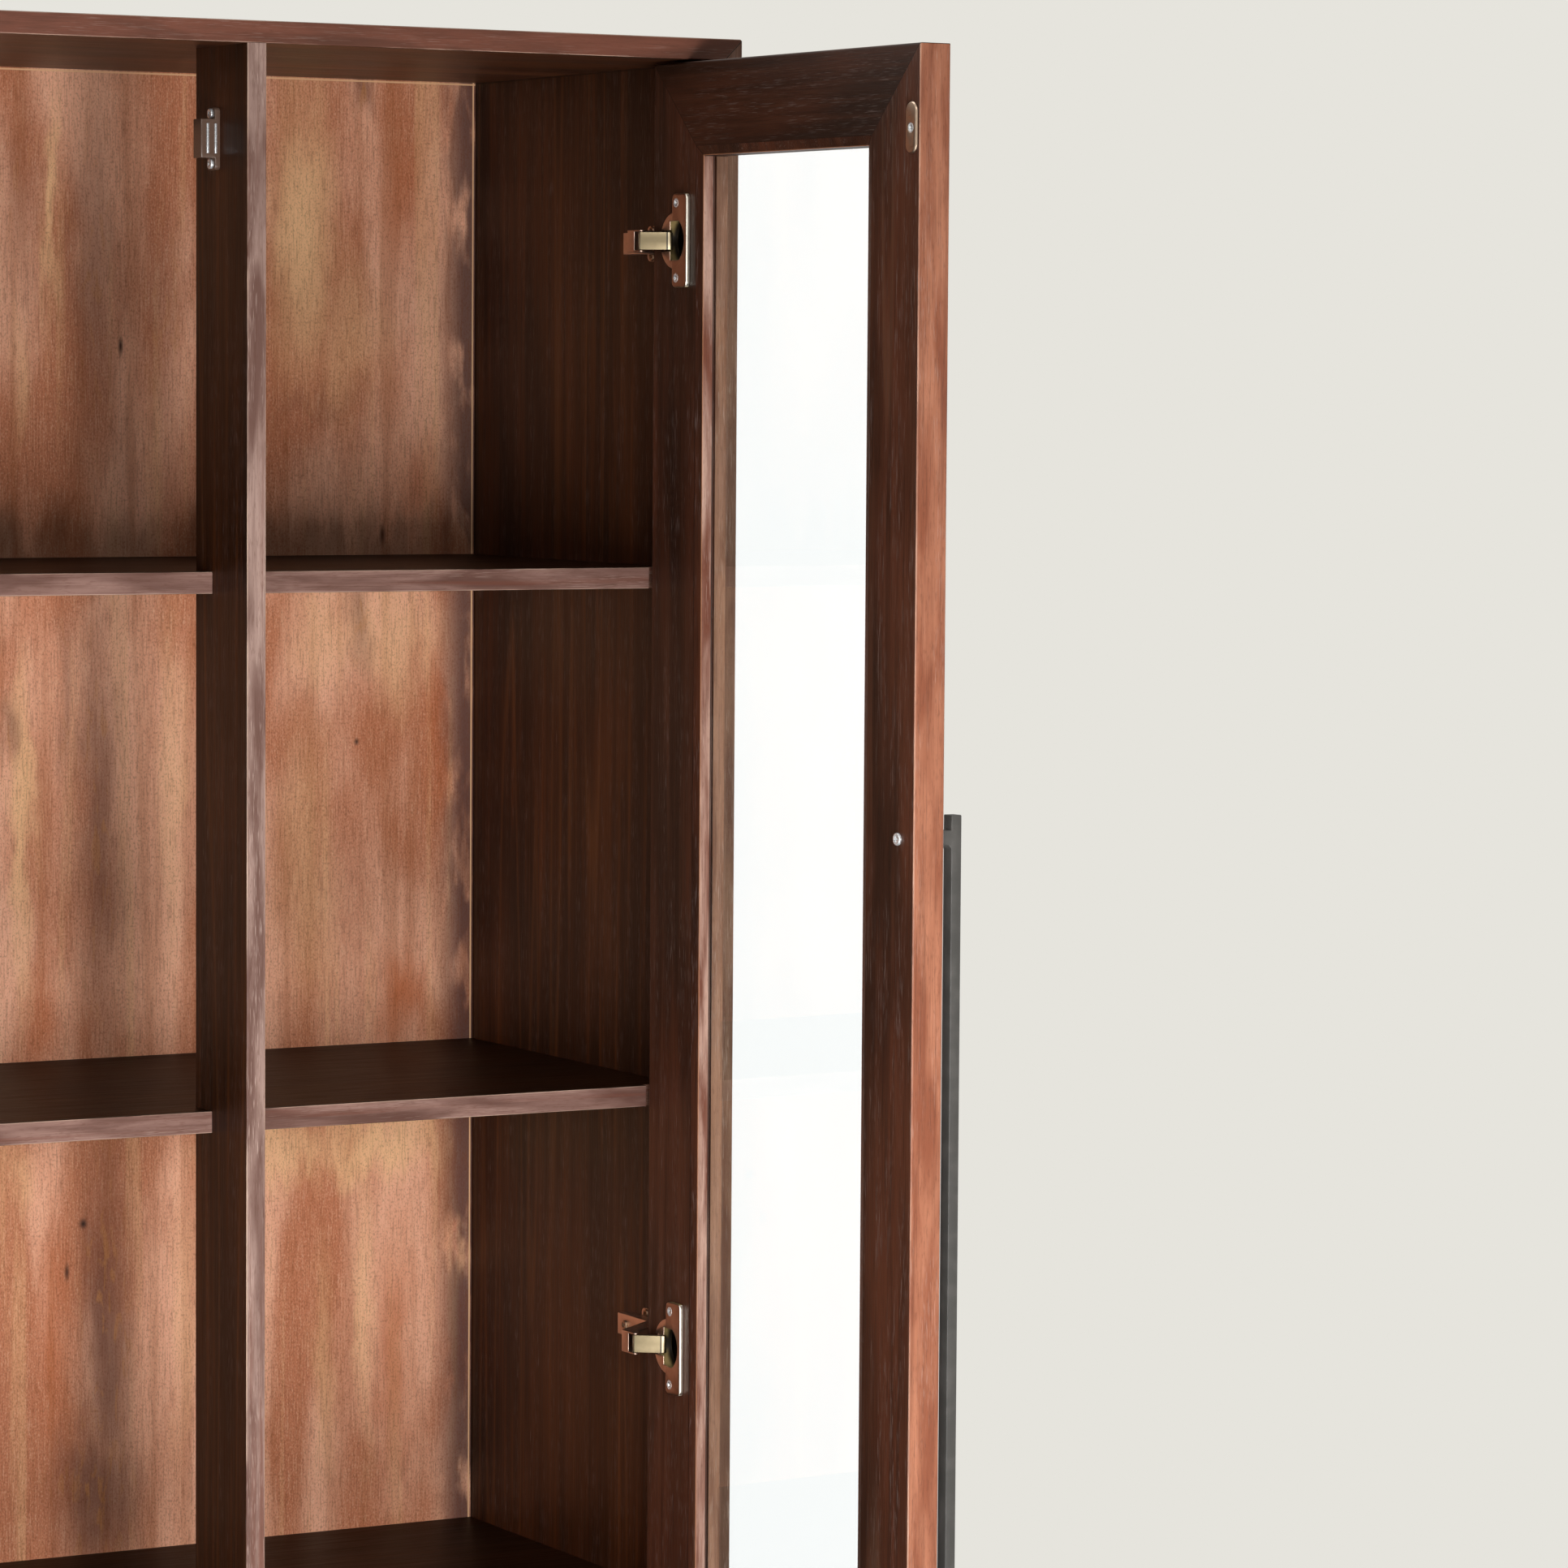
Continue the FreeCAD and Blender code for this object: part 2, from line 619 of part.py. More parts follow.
# ---------------------------------------------------------------- catches
def catches():
    """Twin-pole magnetic catches, one on each face of the post."""
    z = ceiling - catch_drop
    x0, y0 = post_width / 2, catch_front - half_depth
    ear = box(x0, x0 + catch_ear, y0, y0 + catch_deep, z - catch_length / 2, z + catch_length / 2)
    ear = fillet_where(ear, ear_round, lambda e: along(e, SIDEWAYS))
    case = box(x0, x0 + catch_proud, y0, y0 + catch_deep, z - catch_body / 2, z + catch_body / 2)
    case = fillet_where(case, case_ease, lambda e: along(e, UP) and e.CenterOfMass.x > x0 + catch_ear)
    poles = []
    for line in pole_lines:
        poles.append(box(x0 + line - pole_thick / 2, x0 + line + pole_thick / 2, y0 - pole_proud,
                         y0 + pole_deep, z - pole_length / 2, z + pole_length / 2))
    fixings = []
    for k in (-1, 1):
        spot = Vector(x0 + catch_ear, y0 + catch_deep / 2, z + k * (catch_length / 2 - catch_screw_inset))
        fixings.append(screw(spot, -SIDEWAYS, catch_ear))
    body = fuse([ear, case]).cut(poles + fixings)
    save("catch_bodies", [body, mirrored(body)])
    save("catch_poles", poles + [mirrored(p) for p in poles])
    save("catch_screws", fixings + [mirrored(f) for f in fixings])


def main():
    os.makedirs("parts", exist_ok=True)
    carcass()
    back_panel()
    plinth()
    door_frame()
    glazing()
    handle()
    strike()
    hinges()
    catches()


main()
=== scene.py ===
"""Finish and stage for a tall walnut display cabinet with two glazed doors.

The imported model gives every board, pane and hinge its place.  This script gives them their stain,
grain, plating and lacquer, cuts the screws' driving recesses, and sets up floor, lamps and camera.
"""

import json
import math

import bmesh
import bpy
from bpy.props import FloatProperty, FloatVectorProperty, PointerProperty
from mathutils import Matrix, Vector

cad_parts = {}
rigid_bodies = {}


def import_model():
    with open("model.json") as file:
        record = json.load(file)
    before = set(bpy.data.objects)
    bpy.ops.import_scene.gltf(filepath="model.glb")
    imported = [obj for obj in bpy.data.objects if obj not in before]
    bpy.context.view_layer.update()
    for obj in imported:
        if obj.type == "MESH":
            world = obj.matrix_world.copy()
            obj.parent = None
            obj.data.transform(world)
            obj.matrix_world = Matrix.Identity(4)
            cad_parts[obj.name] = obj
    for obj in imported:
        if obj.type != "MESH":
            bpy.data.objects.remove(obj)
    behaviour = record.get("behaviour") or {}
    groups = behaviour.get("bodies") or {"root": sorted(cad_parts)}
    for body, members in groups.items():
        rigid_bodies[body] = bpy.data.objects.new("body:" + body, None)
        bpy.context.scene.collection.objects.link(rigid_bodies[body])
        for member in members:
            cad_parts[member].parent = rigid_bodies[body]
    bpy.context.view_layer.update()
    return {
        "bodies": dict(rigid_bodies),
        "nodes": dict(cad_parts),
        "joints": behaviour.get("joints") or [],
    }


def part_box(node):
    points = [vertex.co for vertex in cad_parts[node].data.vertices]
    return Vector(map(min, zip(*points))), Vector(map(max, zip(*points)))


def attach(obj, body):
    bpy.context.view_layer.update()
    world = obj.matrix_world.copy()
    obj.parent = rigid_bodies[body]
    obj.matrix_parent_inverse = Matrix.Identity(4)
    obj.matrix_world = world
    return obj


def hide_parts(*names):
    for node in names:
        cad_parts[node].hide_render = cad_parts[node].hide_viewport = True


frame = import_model()

bl_info = {
    "name": "Display cabinet finish",
    "version": (1, 0, 0),
    "blender": (4, 5, 0),
    "location": "3D View > Sidebar > Cabinet",
    "description": "Finishes the boards, doors and fittings of a display cabinet and sets its stage",
    "category": "Object",
}

MM = 0.001
SIDES = ("right", "left")
X, Y, Z = range(3)

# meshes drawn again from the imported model
WELD = 0.01 * MM                    # corners nearer than this are one
FLAT = math.radians(1.5)            # faces that meet flatter than this become one
SHARP = math.radians(35)            # edges sharper than this are eased
SMOOTH = math.radians(40)           # edges flatter than this are shaded smooth
CUPS_APART = 100 * MM               # more than the height of a hinge cup, less than their spacing

# the finest wood marks, in mm across: pores of about 0.3 mm and grain of about 0.5 mm are drawn
# coarser, at the finest that shows at this distance
PORE, DUST, FIBRE = 0.6, 1.1, 1.2

# noise scales of the other finishes, per metre: a mark is about one over the scale across
HAZE_SCALE = 350.0                  # cloudiness of barrel-polished plating, about 3 mm
PEEL_SCALE = 900.0                  # orange peel of about 0.5 mm, drawn at 1.1 mm
SMEAR_SCALE = 60.0                  # handling marks on the bars, about 17 mm
SPARK_SCALE = 1500.0                # spark-eroded grain of about 0.1 mm, drawn at 0.7 mm
WAVE_SCALE = 3.0                    # faint long waves of float glass, 330 mm

# a glazing bead, from the door's rim and from the middle of its thickness
BEAD_JOINT, BEAD_ARRIS = 58.0 * MM, 65.0 * MM
# of the two on the next line, the second places a line of painted shade on the bead along the glass
BEAD_TOP, GAP_SHADE_LINE = 9.8 * MM, 1.6 * MM

FLOOR_RADIUS = 2.6
CAMERA_PLACE = (-1.6433, -3.8173, 1.6597)
CAMERA_TURN = (29.55, 3.861, 0.405)     # yaw, pitch downwards and roll in degrees
MIDDLE = (0, 0, 0.95)
# place, the point it shines at, width and height in metres, and power as a share of the key's
KEY_LAMP = ("key_front", (-0.21, -1.45, 1.2), (-0.21, 0, 1.2), 0.26, 0.5, 1.0)
OTHER_LAMPS = (("floor_bounce", (-0.2, -1.5, 0.36), (0, 0, 1.3), 1.4, 0.6, 0.75),
               ("bar_above", (-1.0, -2.1, 3.2), (0, 0, 1.2), 1.4, 0.5, 1.1),
               ("fill_right", (4.0, 0.6, 1.4), MIDDLE, 2.0, 2.0, 2.5),
               ("fill_left", (-4.0, 1.2, 1.4), MIDDLE, 2.0, 2.0, 2.0),
               ("fill_back", (0.0, 4.0, 1.4), MIDDLE, 2.0, 2.0, 3.2),
               ("fill_top", (0.0, 0.6, 4.2), (0, 0, 0), 2.0, 2.0, 2.5))


# ---------------- colours and nodes
def linear(code):
    """An sRGB hex value as linear red, green, blue and full alpha."""
    parts = [int(code[i:i + 2], 16) / 255 for i in (1, 3, 5)]
    return [c / 12.92 if c <= 0.04045 else ((c + 0.055) / 1.055) ** 2.4 for c in parts] + [1.0]


def add(tree, kind, inputs=None, **settings):
    """Adds a node.  An input is a socket, a node whose first output is meant, or a plain value."""
    node = tree.nodes.new(kind)
    for name, value in settings.items():
        setattr(node, name, value)
    for key, value in (inputs or {}).items():
        if isinstance(key, int):
            socket = node.inputs[key]
        else:
            socket = next(s for s in node.inputs if s.enabled and s.name == key)
        if isinstance(value, bpy.types.Node):
            value = next(s for s in value.outputs if s.enabled)
        if isinstance(value, bpy.types.NodeSocket):
            tree.links.new(value, socket)
        else:
            socket.default_value = value
    return node


def new_finish(name):
    """An empty material and its node tree."""
    finish = bpy.data.materials.new(name)
    finish.use_nodes = True
    finish.node_tree.nodes.clear()
    return finish, finish.node_tree


def finish_surface(tree, shader):
    """Ends a material in its shader."""
    add(tree, "ShaderNodeOutputMaterial", {"Surface": shader})


def paint(obj, finish):
    """Puts one finish on every material slot of an object."""
    obj.data.materials.clear()
    obj.data.materials.append(finish)


# ---------------- settings
class CabinetWood(bpy.types.PropertyGroup):
    """Stain colours of the boards, the doors and the back panel."""

    board_low: FloatVectorProperty(
        name="Boards, deep", description="Deep tone of the box and the shelves",
        size=4, subtype="COLOR", min=0, max=1, default=linear("#241005"))
    board_high: FloatVectorProperty(
        name="Boards, warm", description="Warm tone of the box and the shelves",
        size=4, subtype="COLOR", min=0, max=1, default=linear("#46230E"))
    frame_low: FloatVectorProperty(
        name="Doors, deep", description="Deep tone of the door frames",
        size=4, subtype="COLOR", min=0, max=1, default=linear("#221109"))
    frame_high: FloatVectorProperty(
        name="Doors, warm", description="Warm tone of the door frames",
        size=4, subtype="COLOR", min=0, max=1, default=linear("#4E291A"))
    panel_low: FloatVectorProperty(
        name="Panel, deep", description="Deep tone of the back panel",
        size=4, subtype="COLOR", min=0, max=1, default=linear("#CB805D"))
    panel_high: FloatVectorProperty(
        name="Panel, warm", description="Warm tone of the back panel",
        size=4, subtype="COLOR", min=0, max=1, default=linear("#F6B594"))
    ring_spacing: FloatProperty(
        name="Growth rings", description="Distance between growth rings on a board's face",
        subtype="DISTANCE", unit="LENGTH", min=0.001, default=0.016)


class CabinetMetal(bpy.types.PropertyGroup):
    """Plating and lacquer of the fittings."""

    bronze: FloatVectorProperty(
        name="Bronze plating", description="Cups, arms and mounting plates of the hinges",
        size=4, subtype="COLOR", min=0, max=1, default=linear("#C4A897"))
    nickel: FloatVectorProperty(
        name="Nickel plating", description="Links of the hinges",
        size=4, subtype="COLOR", min=0, max=1, default=linear("#8A7C62"))
    zinc: FloatVectorProperty(
        name="Zinc plating", description="Screws and catch poles",
        size=4, subtype="COLOR", min=0, max=1, default=linear("#E4E6E8"))
    strike: FloatVectorProperty(
        name="Brown nickel", description="Strike plates on the doors",
        size=4, subtype="COLOR", min=0, max=1, default=linear("#B39C89"))
    lacquer: FloatVectorProperty(
        name="Black lacquer", description="Stoved lacquer on the handles",
        size=4, subtype="COLOR", min=0, max=1, default=linear("#42403D"))


class CabinetStage(bpy.types.PropertyGroup):
    """Floor, lamps and camera."""

    backdrop: FloatVectorProperty(
        name="Backdrop", description="Colour of the floor and behind the cabinet",
        size=4, subtype="COLOR", min=0, max=1, default=linear("#E6E4DD"))
    key_power: FloatProperty(
        name="Key lamp", description="Power of the narrow lamp in front", subtype="POWER", unit="POWER",
        min=0, default=15.0)
    lens: FloatProperty(
        name="Lens", description="Focal length of the camera", subtype="DISTANCE_CAMERA", unit="CAMERA",
        min=1, default=135.55)


class CabinetSettings(bpy.types.PropertyGroup):
    """All settings of the cabinet."""

    wood: PointerProperty(type=CabinetWood)
    metal: PointerProperty(type=CabinetMetal)
    stage: PointerProperty(type=CabinetStage)


def settings():
    """The cabinet's settings in the open scene."""
    return bpy.context.scene.display_cabinet


# ---------------- places from the frame
def door_turn(side):
    """The angle about Z that brings a stored open door back to closed."""
    joint = next(j for j in frame["joints"] if j["name"] == side + "_door_swing")
    return math.radians(joint["range_deg"][0]) * joint["axis"][Z]


def door_way(side):
    """Unit vector across the stored door, from its hinge edge to its free edge."""
    closed = Vector((-1, 0, 0)) if side == "right" else Vector((1, 0, 0))
    return Matrix.Rotation(-door_turn(side), 3, "Z") @ closed


def door_inward(side):
    """Unit vector out of the stored door's inner face."""
    return Matrix.Rotation(-door_turn(side), 3, "Z") @ Vector((0, 1, 0))


def door_outline(side):
    """Middle, half width and half height of a door, turned back to closed about the origin."""
    back = Matrix.Rotation(door_turn(side), 3, "Z")
    points = []
    for part in ("hinge_stile", "free_stile"):
        points += [back @ v.co for v in frame["nodes"][side + "_" + part].data.vertices]
    low = Vector(min(p[i] for p in points) for i in range(3))
    high = Vector(max(p[i] for p in points) for i in range(3))
    return (low + high) / 2, (high.x - low.x) / 2, (high.z - low.z) / 2


# ---------------- wood
def figure(tree, place, along, across, length, detail=2.0, twist=0.0):
    """Noise drawn out along the grain; across and length are the size of one mark in mm."""
    scale = [1 / (across * MM)] * 3
    scale[along] = 1 / (length * MM)
    drawn = add(tree, "ShaderNodeMapping", {"Vector": place, "Scale": scale})
    return add(tree, "ShaderNodeTexNoise",
               {"Vector": drawn, "Scale": 1.0, "Detail": detail, "Distortion": twist})


def share(tree, value, low, high, top=1.0):
    """How far a value has gone from low to high, eased, as 0 to top."""
    return add(tree, "ShaderNodeMapRange",
               {"Value": value, "From Min": low, "From Max": high, "To Max": top},
               interpolation_type="SMOOTHSTEP")


def stained(tree, base, coats):
    """Lays coats of stain over a base, each given as how much of it shows and its colour."""
    for amount, colour in coats:
        base = add(tree, "ShaderNodeMix", {"Factor": amount, "A": base, "B": linear(colour)},
                   data_type="RGBA")
    return base


def growth_lines(tree, place, along, spacing):
    """Thin lines, as of growth rings on a sawn face, where a slow drift passes whole steps."""
    wide = 45
    drift = figure(tree, place, along, wide, 1400, 1, 0.2)
    count = add(tree, "ShaderNodeMath", {0: drift, 1: wide * MM / spacing}, operation="MULTIPLY")
    swing = add(tree, "ShaderNodeMath", {0: count, 1: 0.5}, operation="PINGPONG")
    return share(tree, swing, 0.06, 0.0)


def from_rim(tree, turned, outline):
    """Distances inwards from the upright and the level edges of a rectangle facing the front."""
    middle, half_width, half_height = outline
    apart = add(tree, "ShaderNodeVectorMath", {0: turned, 1: middle}, operation="SUBTRACT")
    apart = add(tree, "ShaderNodeVectorMath", {0: apart}, operation="ABSOLUTE")
    inward = add(tree, "ShaderNodeVectorMath", {0: (half_width, 0, half_height), 1: apart},
                 operation="SUBTRACT")
    inward = add(tree, "ShaderNodeSeparateXYZ", {0: inward})
    return inward.outputs["X"], inward.outputs["Z"]


def line(tree, value, at, half):
    """1 where a value lies within a small half width of a place."""
    off = add(tree, "ShaderNodeMath", {0: value, 1: at}, operation="SUBTRACT")
    off = add(tree, "ShaderNodeMath", {0: off}, operation="ABSOLUTE")
    return share(tree, off, half, half * 0.2)


def mitre_marks(tree, turned, outline):
    """The hairline of glue and dark stain along a mitre."""
    upright, level = from_rim(tree, turned, outline)
    gap = add(tree, "ShaderNodeMath", {0: upright, 1: level}, operation="SUBTRACT")
    return [(line(tree, gap, 0.0, 0.7 * MM), "#180B06")]


def bead_marks(tree, turned, outline):
    """A bead's joint with its frame, its worn inner arris, and a dark line of painted shade along the
    glass, where bead and pane leave a gap.
    """
    upright, level = from_rim(tree, turned, outline)
    inward = add(tree, "ShaderNodeMath", {0: upright, 1: level}, operation="MINIMUM")
    depth = add(tree, "ShaderNodeSeparateXYZ", {0: turned})
    middle = outline[0].y
    worn = add(tree, "ShaderNodeMath",
               {0: line(tree, inward, BEAD_ARRIS, 0.8 * MM),
                1: line(tree, depth.outputs["Y"], middle + BEAD_TOP, 0.7 * MM)}, operation="MULTIPLY")
    worn = add(tree, "ShaderNodeMath", {0: worn, 1: 0.45}, operation="MULTIPLY")
    return mitre_marks(tree, turned, outline) + [
        (line(tree, inward, BEAD_JOINT, 0.7 * MM), "#160B07"), (worn, "#C98A64"),
        # painted shade: a dark line on the bead along the glass, for the gap between them
        (line(tree, depth.outputs["Y"], middle + GAP_SHADE_LINE, 0.8 * MM), "#2A1B14")]


# what shows over a stain on a face: light figure, dark figure, dark fibre and growth lines
BOARD_FIGURE = ("#6E3C1A", "#1B0C05", "#1E0D05", "#764724")
FRAME_FIGURE = ("#5C3828", "#180D08", "#1C100B", "#6A4937")

# how an edge shows: deep and pale tone, strength of its pale dashes, and of its bands and worn arrises
# the edges' tones are lighter than the faces' stain partly for edge grain and worn stain and partly as
# painted light, standing in for the lamp in front that lights the edges; the post's pale grey tone also
# holds a painted sheen
BOARD_EDGE = ("#65463A", "#8A6654", 0.3, 0.5)
BOARD_EDGES = {"top_board": ("#5A382C", "#77493A", 0.1, 0.5),
               "centre_post": ("#664940", "#A2867B", 0.4, 0.75),
               "shelf_lippings": ("#5E423A", "#8F6F65", 0.15, 0.5)}
FRAME_EDGE = ("#8F543D", "#B87A5E", 0.25, 0.3)
FRAME_EDGES = {"hinge_stile": ("#7C5340", "#A5765E", 0.3, 0.3),
               "glazing_beads": ("#6F4030", "#C29D8C", 0.3, 0.3)}


def walnut(name, along, seed, edge, stain, figures, turn=0.0, edge_way=(0, 1, 0), gloss=0.2, depth=0.0,
           marks=None):
    """Walnut board, planed and sanded, stained dark and sprayed with a satin lacquer.

    To the eye: a deep brown with soft long figure, open pores that catch dust and read as short pale
    dashes, thin growth lines, front edges where the stain was worn thin and the wood shows redder and
    lighter, lightened further by painted light that stands in for the lamp in front, and arrises worn
    nearly bare.  turn brings a stored door back to closed for the pattern, edge_way is the way that these
    worn and painted-lit edges face, depth lays a painted shade over a face that the light hardly reaches,
    and marks adds coats of its own.
    """
    finish, tree = new_finish(name)
    coords = add(tree, "ShaderNodeTexCoord")
    turned = add(tree, "ShaderNodeMapping",
                 {"Vector": coords.outputs["Object"], "Rotation": (0, 0, turn)})
    place = add(tree, "ShaderNodeMapping",
                {"Vector": turned, "Location": (seed * 0.377, seed * 0.613, seed * 0.241)})
    cloud = figure(tree, place, along, 60, 330, 3, 0.4)
    bands = figure(tree, place, along, 6, 300, 3, 0.5)
    fibre = figure(tree, place, along, 0.9, 45)
    pores = figure(tree, place, along, PORE, 15)
    open_grain = figure(tree, place, along, 9, 120, 2)
    dashes = add(tree, "ShaderNodeMath",
                 {0: share(tree, pores, 0.56, 0.68), 1: share(tree, open_grain, 0.4, 0.62)},
                 operation="MULTIPLY")
    rings = growth_lines(tree, place, along, settings().wood.ring_spacing)
    edge_low, edge_high, edge_dashes, edge_wear = edge
    pale = add(tree, "ShaderNodeMath", {0: dashes, 1: 0.38}, operation="MULTIPLY")
    bright = add(tree, "ShaderNodeMath", {0: dashes, 1: edge_dashes}, operation="MULTIPLY")
    lines = add(tree, "ShaderNodeMath", {0: rings, 1: 0.25}, operation="MULTIPLY")

    light_figure, dark_figure, dark_fibre, ring = figures
    face = add(tree, "ShaderNodeMix",
               {"Factor": share(tree, cloud, 0.32, 0.68), "A": stain[0], "B": stain[1]},
               data_type="RGBA")
    # the last coat, depth, is a painted shade over the whole face
    face = stained(tree, face, ((share(tree, bands, 0.5, 0.74, 0.35), light_figure),
                                (share(tree, bands, 0.5, 0.28, 0.5), dark_figure),
                                (share(tree, fibre, 0.52, 0.32, 0.5), dark_fibre),
                                (lines, ring), (pale, "#80706B"), (depth, "#140903")))

    mottle = figure(tree, place, along, 14, 90, 3, 0.4)
    speck = figure(tree, place, along, 0.9, 6, 2)
    # edge tone: worn redder and lighter, and lighter still as painted light for the lamp in front
    worn_and_lit_edge = add(tree, "ShaderNodeMix",
                 {"Factor": share(tree, mottle, 0.3, 0.7), "A": linear(edge_low),
                  "B": linear(edge_high)}, data_type="RGBA")
    worn_and_lit_edge = stained(tree, worn_and_lit_edge, ((share(tree, speck, 0.46, 0.3, 0.3), "#5A382B"),
                                    (share(tree, bands, 0.54, 0.7, edge_wear), "#6B3F31"),
                                    (share(tree, fibre, 0.5, 0.32, 0.3), "#55362A"),
                                    (bright, "#D9BFB2")))
    facing = add(tree, "ShaderNodeVectorMath", {0: coords.outputs["Normal"], 1: edge_way},
                 operation="DOT_PRODUCT")
    facing = add(tree, "ShaderNodeMath", {0: facing.outputs["Value"]}, operation="ABSOLUTE")
    # faces that look along edge_way take the edge tone, partly worn stain and partly painted light
    colour = add(tree, "ShaderNodeMix",
                 {"Factor": share(tree, facing, 0.45, 0.7), "A": face, "B": worn_and_lit_edge}, data_type="RGBA")
    # an arris faces neither the edge's way nor the face's
    worn = add(tree, "ShaderNodeMath",
               {0: share(tree, facing, 0.4, 0.6), 1: share(tree, facing, 0.985, 0.85)},
               operation="MULTIPLY")
    worn = add(tree, "ShaderNodeMath", {0: worn, 1: share(tree, mottle, 0.36, 0.6, edge_wear)},
               operation="MULTIPLY")
    colour = stained(tree, colour, ((worn, "#D9B8A2"),))
    if marks:
        colour = stained(tree, colour, marks(tree, turned))

    relief = add(tree, "ShaderNodeMath", {0: fibre, 1: pores}, operation="ADD")
    bump = add(tree, "ShaderNodeBump", {"Height": relief, "Strength": 0.5, "Distance": 0.15 * MM})
    sheen = add(tree, "ShaderNodeMapRange",
                {"Value": fibre, "From Min": 0.3, "From Max": 0.7, "To Min": 0.36, "To Max": 0.5})
    shader = add(tree, "ShaderNodeBsdfPrincipled",
                 {"Base Color": colour, "Roughness": sheen, "IOR": 1.5, "Specular IOR Level": gloss,
                  "Normal": bump})
    finish_surface(tree, shader)
    return finish


def patch(tree, place, x, z, wide, tall):
    """A soft-edged oval on the back panel, 1 in its middle and 0 at its rim, placed in mm."""
    apart = add(tree, "ShaderNodeVectorMath", {0: place, 1: (x * MM, 0, z * MM)}, operation="SUBTRACT")
    drawn = add(tree, "ShaderNodeVectorMath",
                {0: apart, 1: (1 / (wide * MM), 0, 1 / (tall * MM))}, operation="MULTIPLY")
    far = add(tree, "ShaderNodeVectorMath", {0: drawn}, operation="LENGTH")
    return share(tree, far.outputs["Value"], 1.0, 0.0)


def patches(tree, place, spots):
    """The strongest of several patches, each (x, z, half width, half height, strength)."""
    total = None
    for x, z, wide, tall, strength in spots:
        spot = add(tree, "ShaderNodeMath", {0: patch(tree, place, x, z, wide, tall), 1: strength},
                   operation="MULTIPLY")
        total = spot if total is None else add(tree, "ShaderNodeMath", {0: total, 1: spot},
                                               operation="MAXIMUM")
    return total


# smoky stain clouds and painted shade on the back panel: x, z, half width, half height in mm, and
# strength
# the patches near x = 50 mm follow the post's cast shadow and deepen it, partly stain and partly painted
# shadow; those at z 1590 to 1640 are painted shade at the foot of the top compartment
SMOKE_AND_PAINTED_SHADE = ((46, 1740, 30, 200, 0.4), (100, 1700, 40, 170, 0.25), (-10, 1800, 30, 120, 0.25),
         (58, 1610, 60, 80, 0.15), (50, 1340, 24, 240, 0.55),
         (22, 1430, 12, 90, 0.3), (54, 960, 32, 200, 0.75), (44, 840, 56, 70, 0.7),
         (262, 1890, 16, 45, 0.6), (258, 1480, 18, 60, 0.5), (225, 1640, 60, 22, 0.2),
         (226, 1590, 70, 50, 0.1), (-18, 1400, 10, 34, 0.5),
         (-300, 1700, 40, 200, 0.6), (-180, 1300, 30, 260, 0.6), (-240, 900, 40, 200, 0.5),
         (200, 560, 40, 200, 0.5), (-60, 300, 60, 160, 0.5))
# golden stain patches and painted light, in the same columns as the clouds above; the wide low bands at z
# 1088 and z 1470 are painted light along the tops of the second and third compartments
GOLD_AND_PAINTED_LIGHT = ((12, 1790, 8, 110, 0.8), (-14, 1660, 14, 70, 0.4), (-12, 1340, 14, 170, 0.8),
        (108, 1360, 16, 200, 0.4), (212, 1770, 40, 150, 0.9), (250, 1690, 50, 90, 0.4),
        (226, 1470, 40, 60, 0.4), (290, 1460, 30, 80, 0.5), (215, 1300, 36, 160, 0.4),
        (190, 1088, 90, 40, 0.7), (275, 1088, 90, 40, 0.8), (270, 1470, 100, 44, 0.4),
        (-14, 1080, 16, 50, 0.4), (265, 960, 12, 160, 0.5), (230, 920, 16, 120, 0.4),
        (342, 950, 7, 170, 0.5),
        (116, 950, 14, 160, 0.3), (-120, 1750, 40, 130, 0.7), (-280, 1250, 50, 150, 0.7),
        (-100, 700, 60, 160, 0.6))
RUST = ((296, 1200, 34, 60, 0.7), (300, 1790, 34, 90, 0.3), (290, 930, 26, 150, 0.6),
        (322, 1400, 14, 120, 0.4), (-6, 1500, 14, 50, 0.3), (0, 1200, 18, 60, 0.3),
        (12, 960, 22, 130, 0.4), (310, 1590, 34, 50, 0.4),
        (-200, 1100, 30, 160, 0.6))
KNOTS = ((66, 1685, 3, 11, 1.0), (278, 1546, 4, 12, 0.9), (257, 1391, 3, 4, 0.9), (36, 1041, 5, 6, 1.0),
         (23, 1006, 3, 10, 0.9), (-210, 1480, 4, 7, 0.9), (-90, 620, 4, 8, 0.9), (180, 380, 5, 7, 0.9))


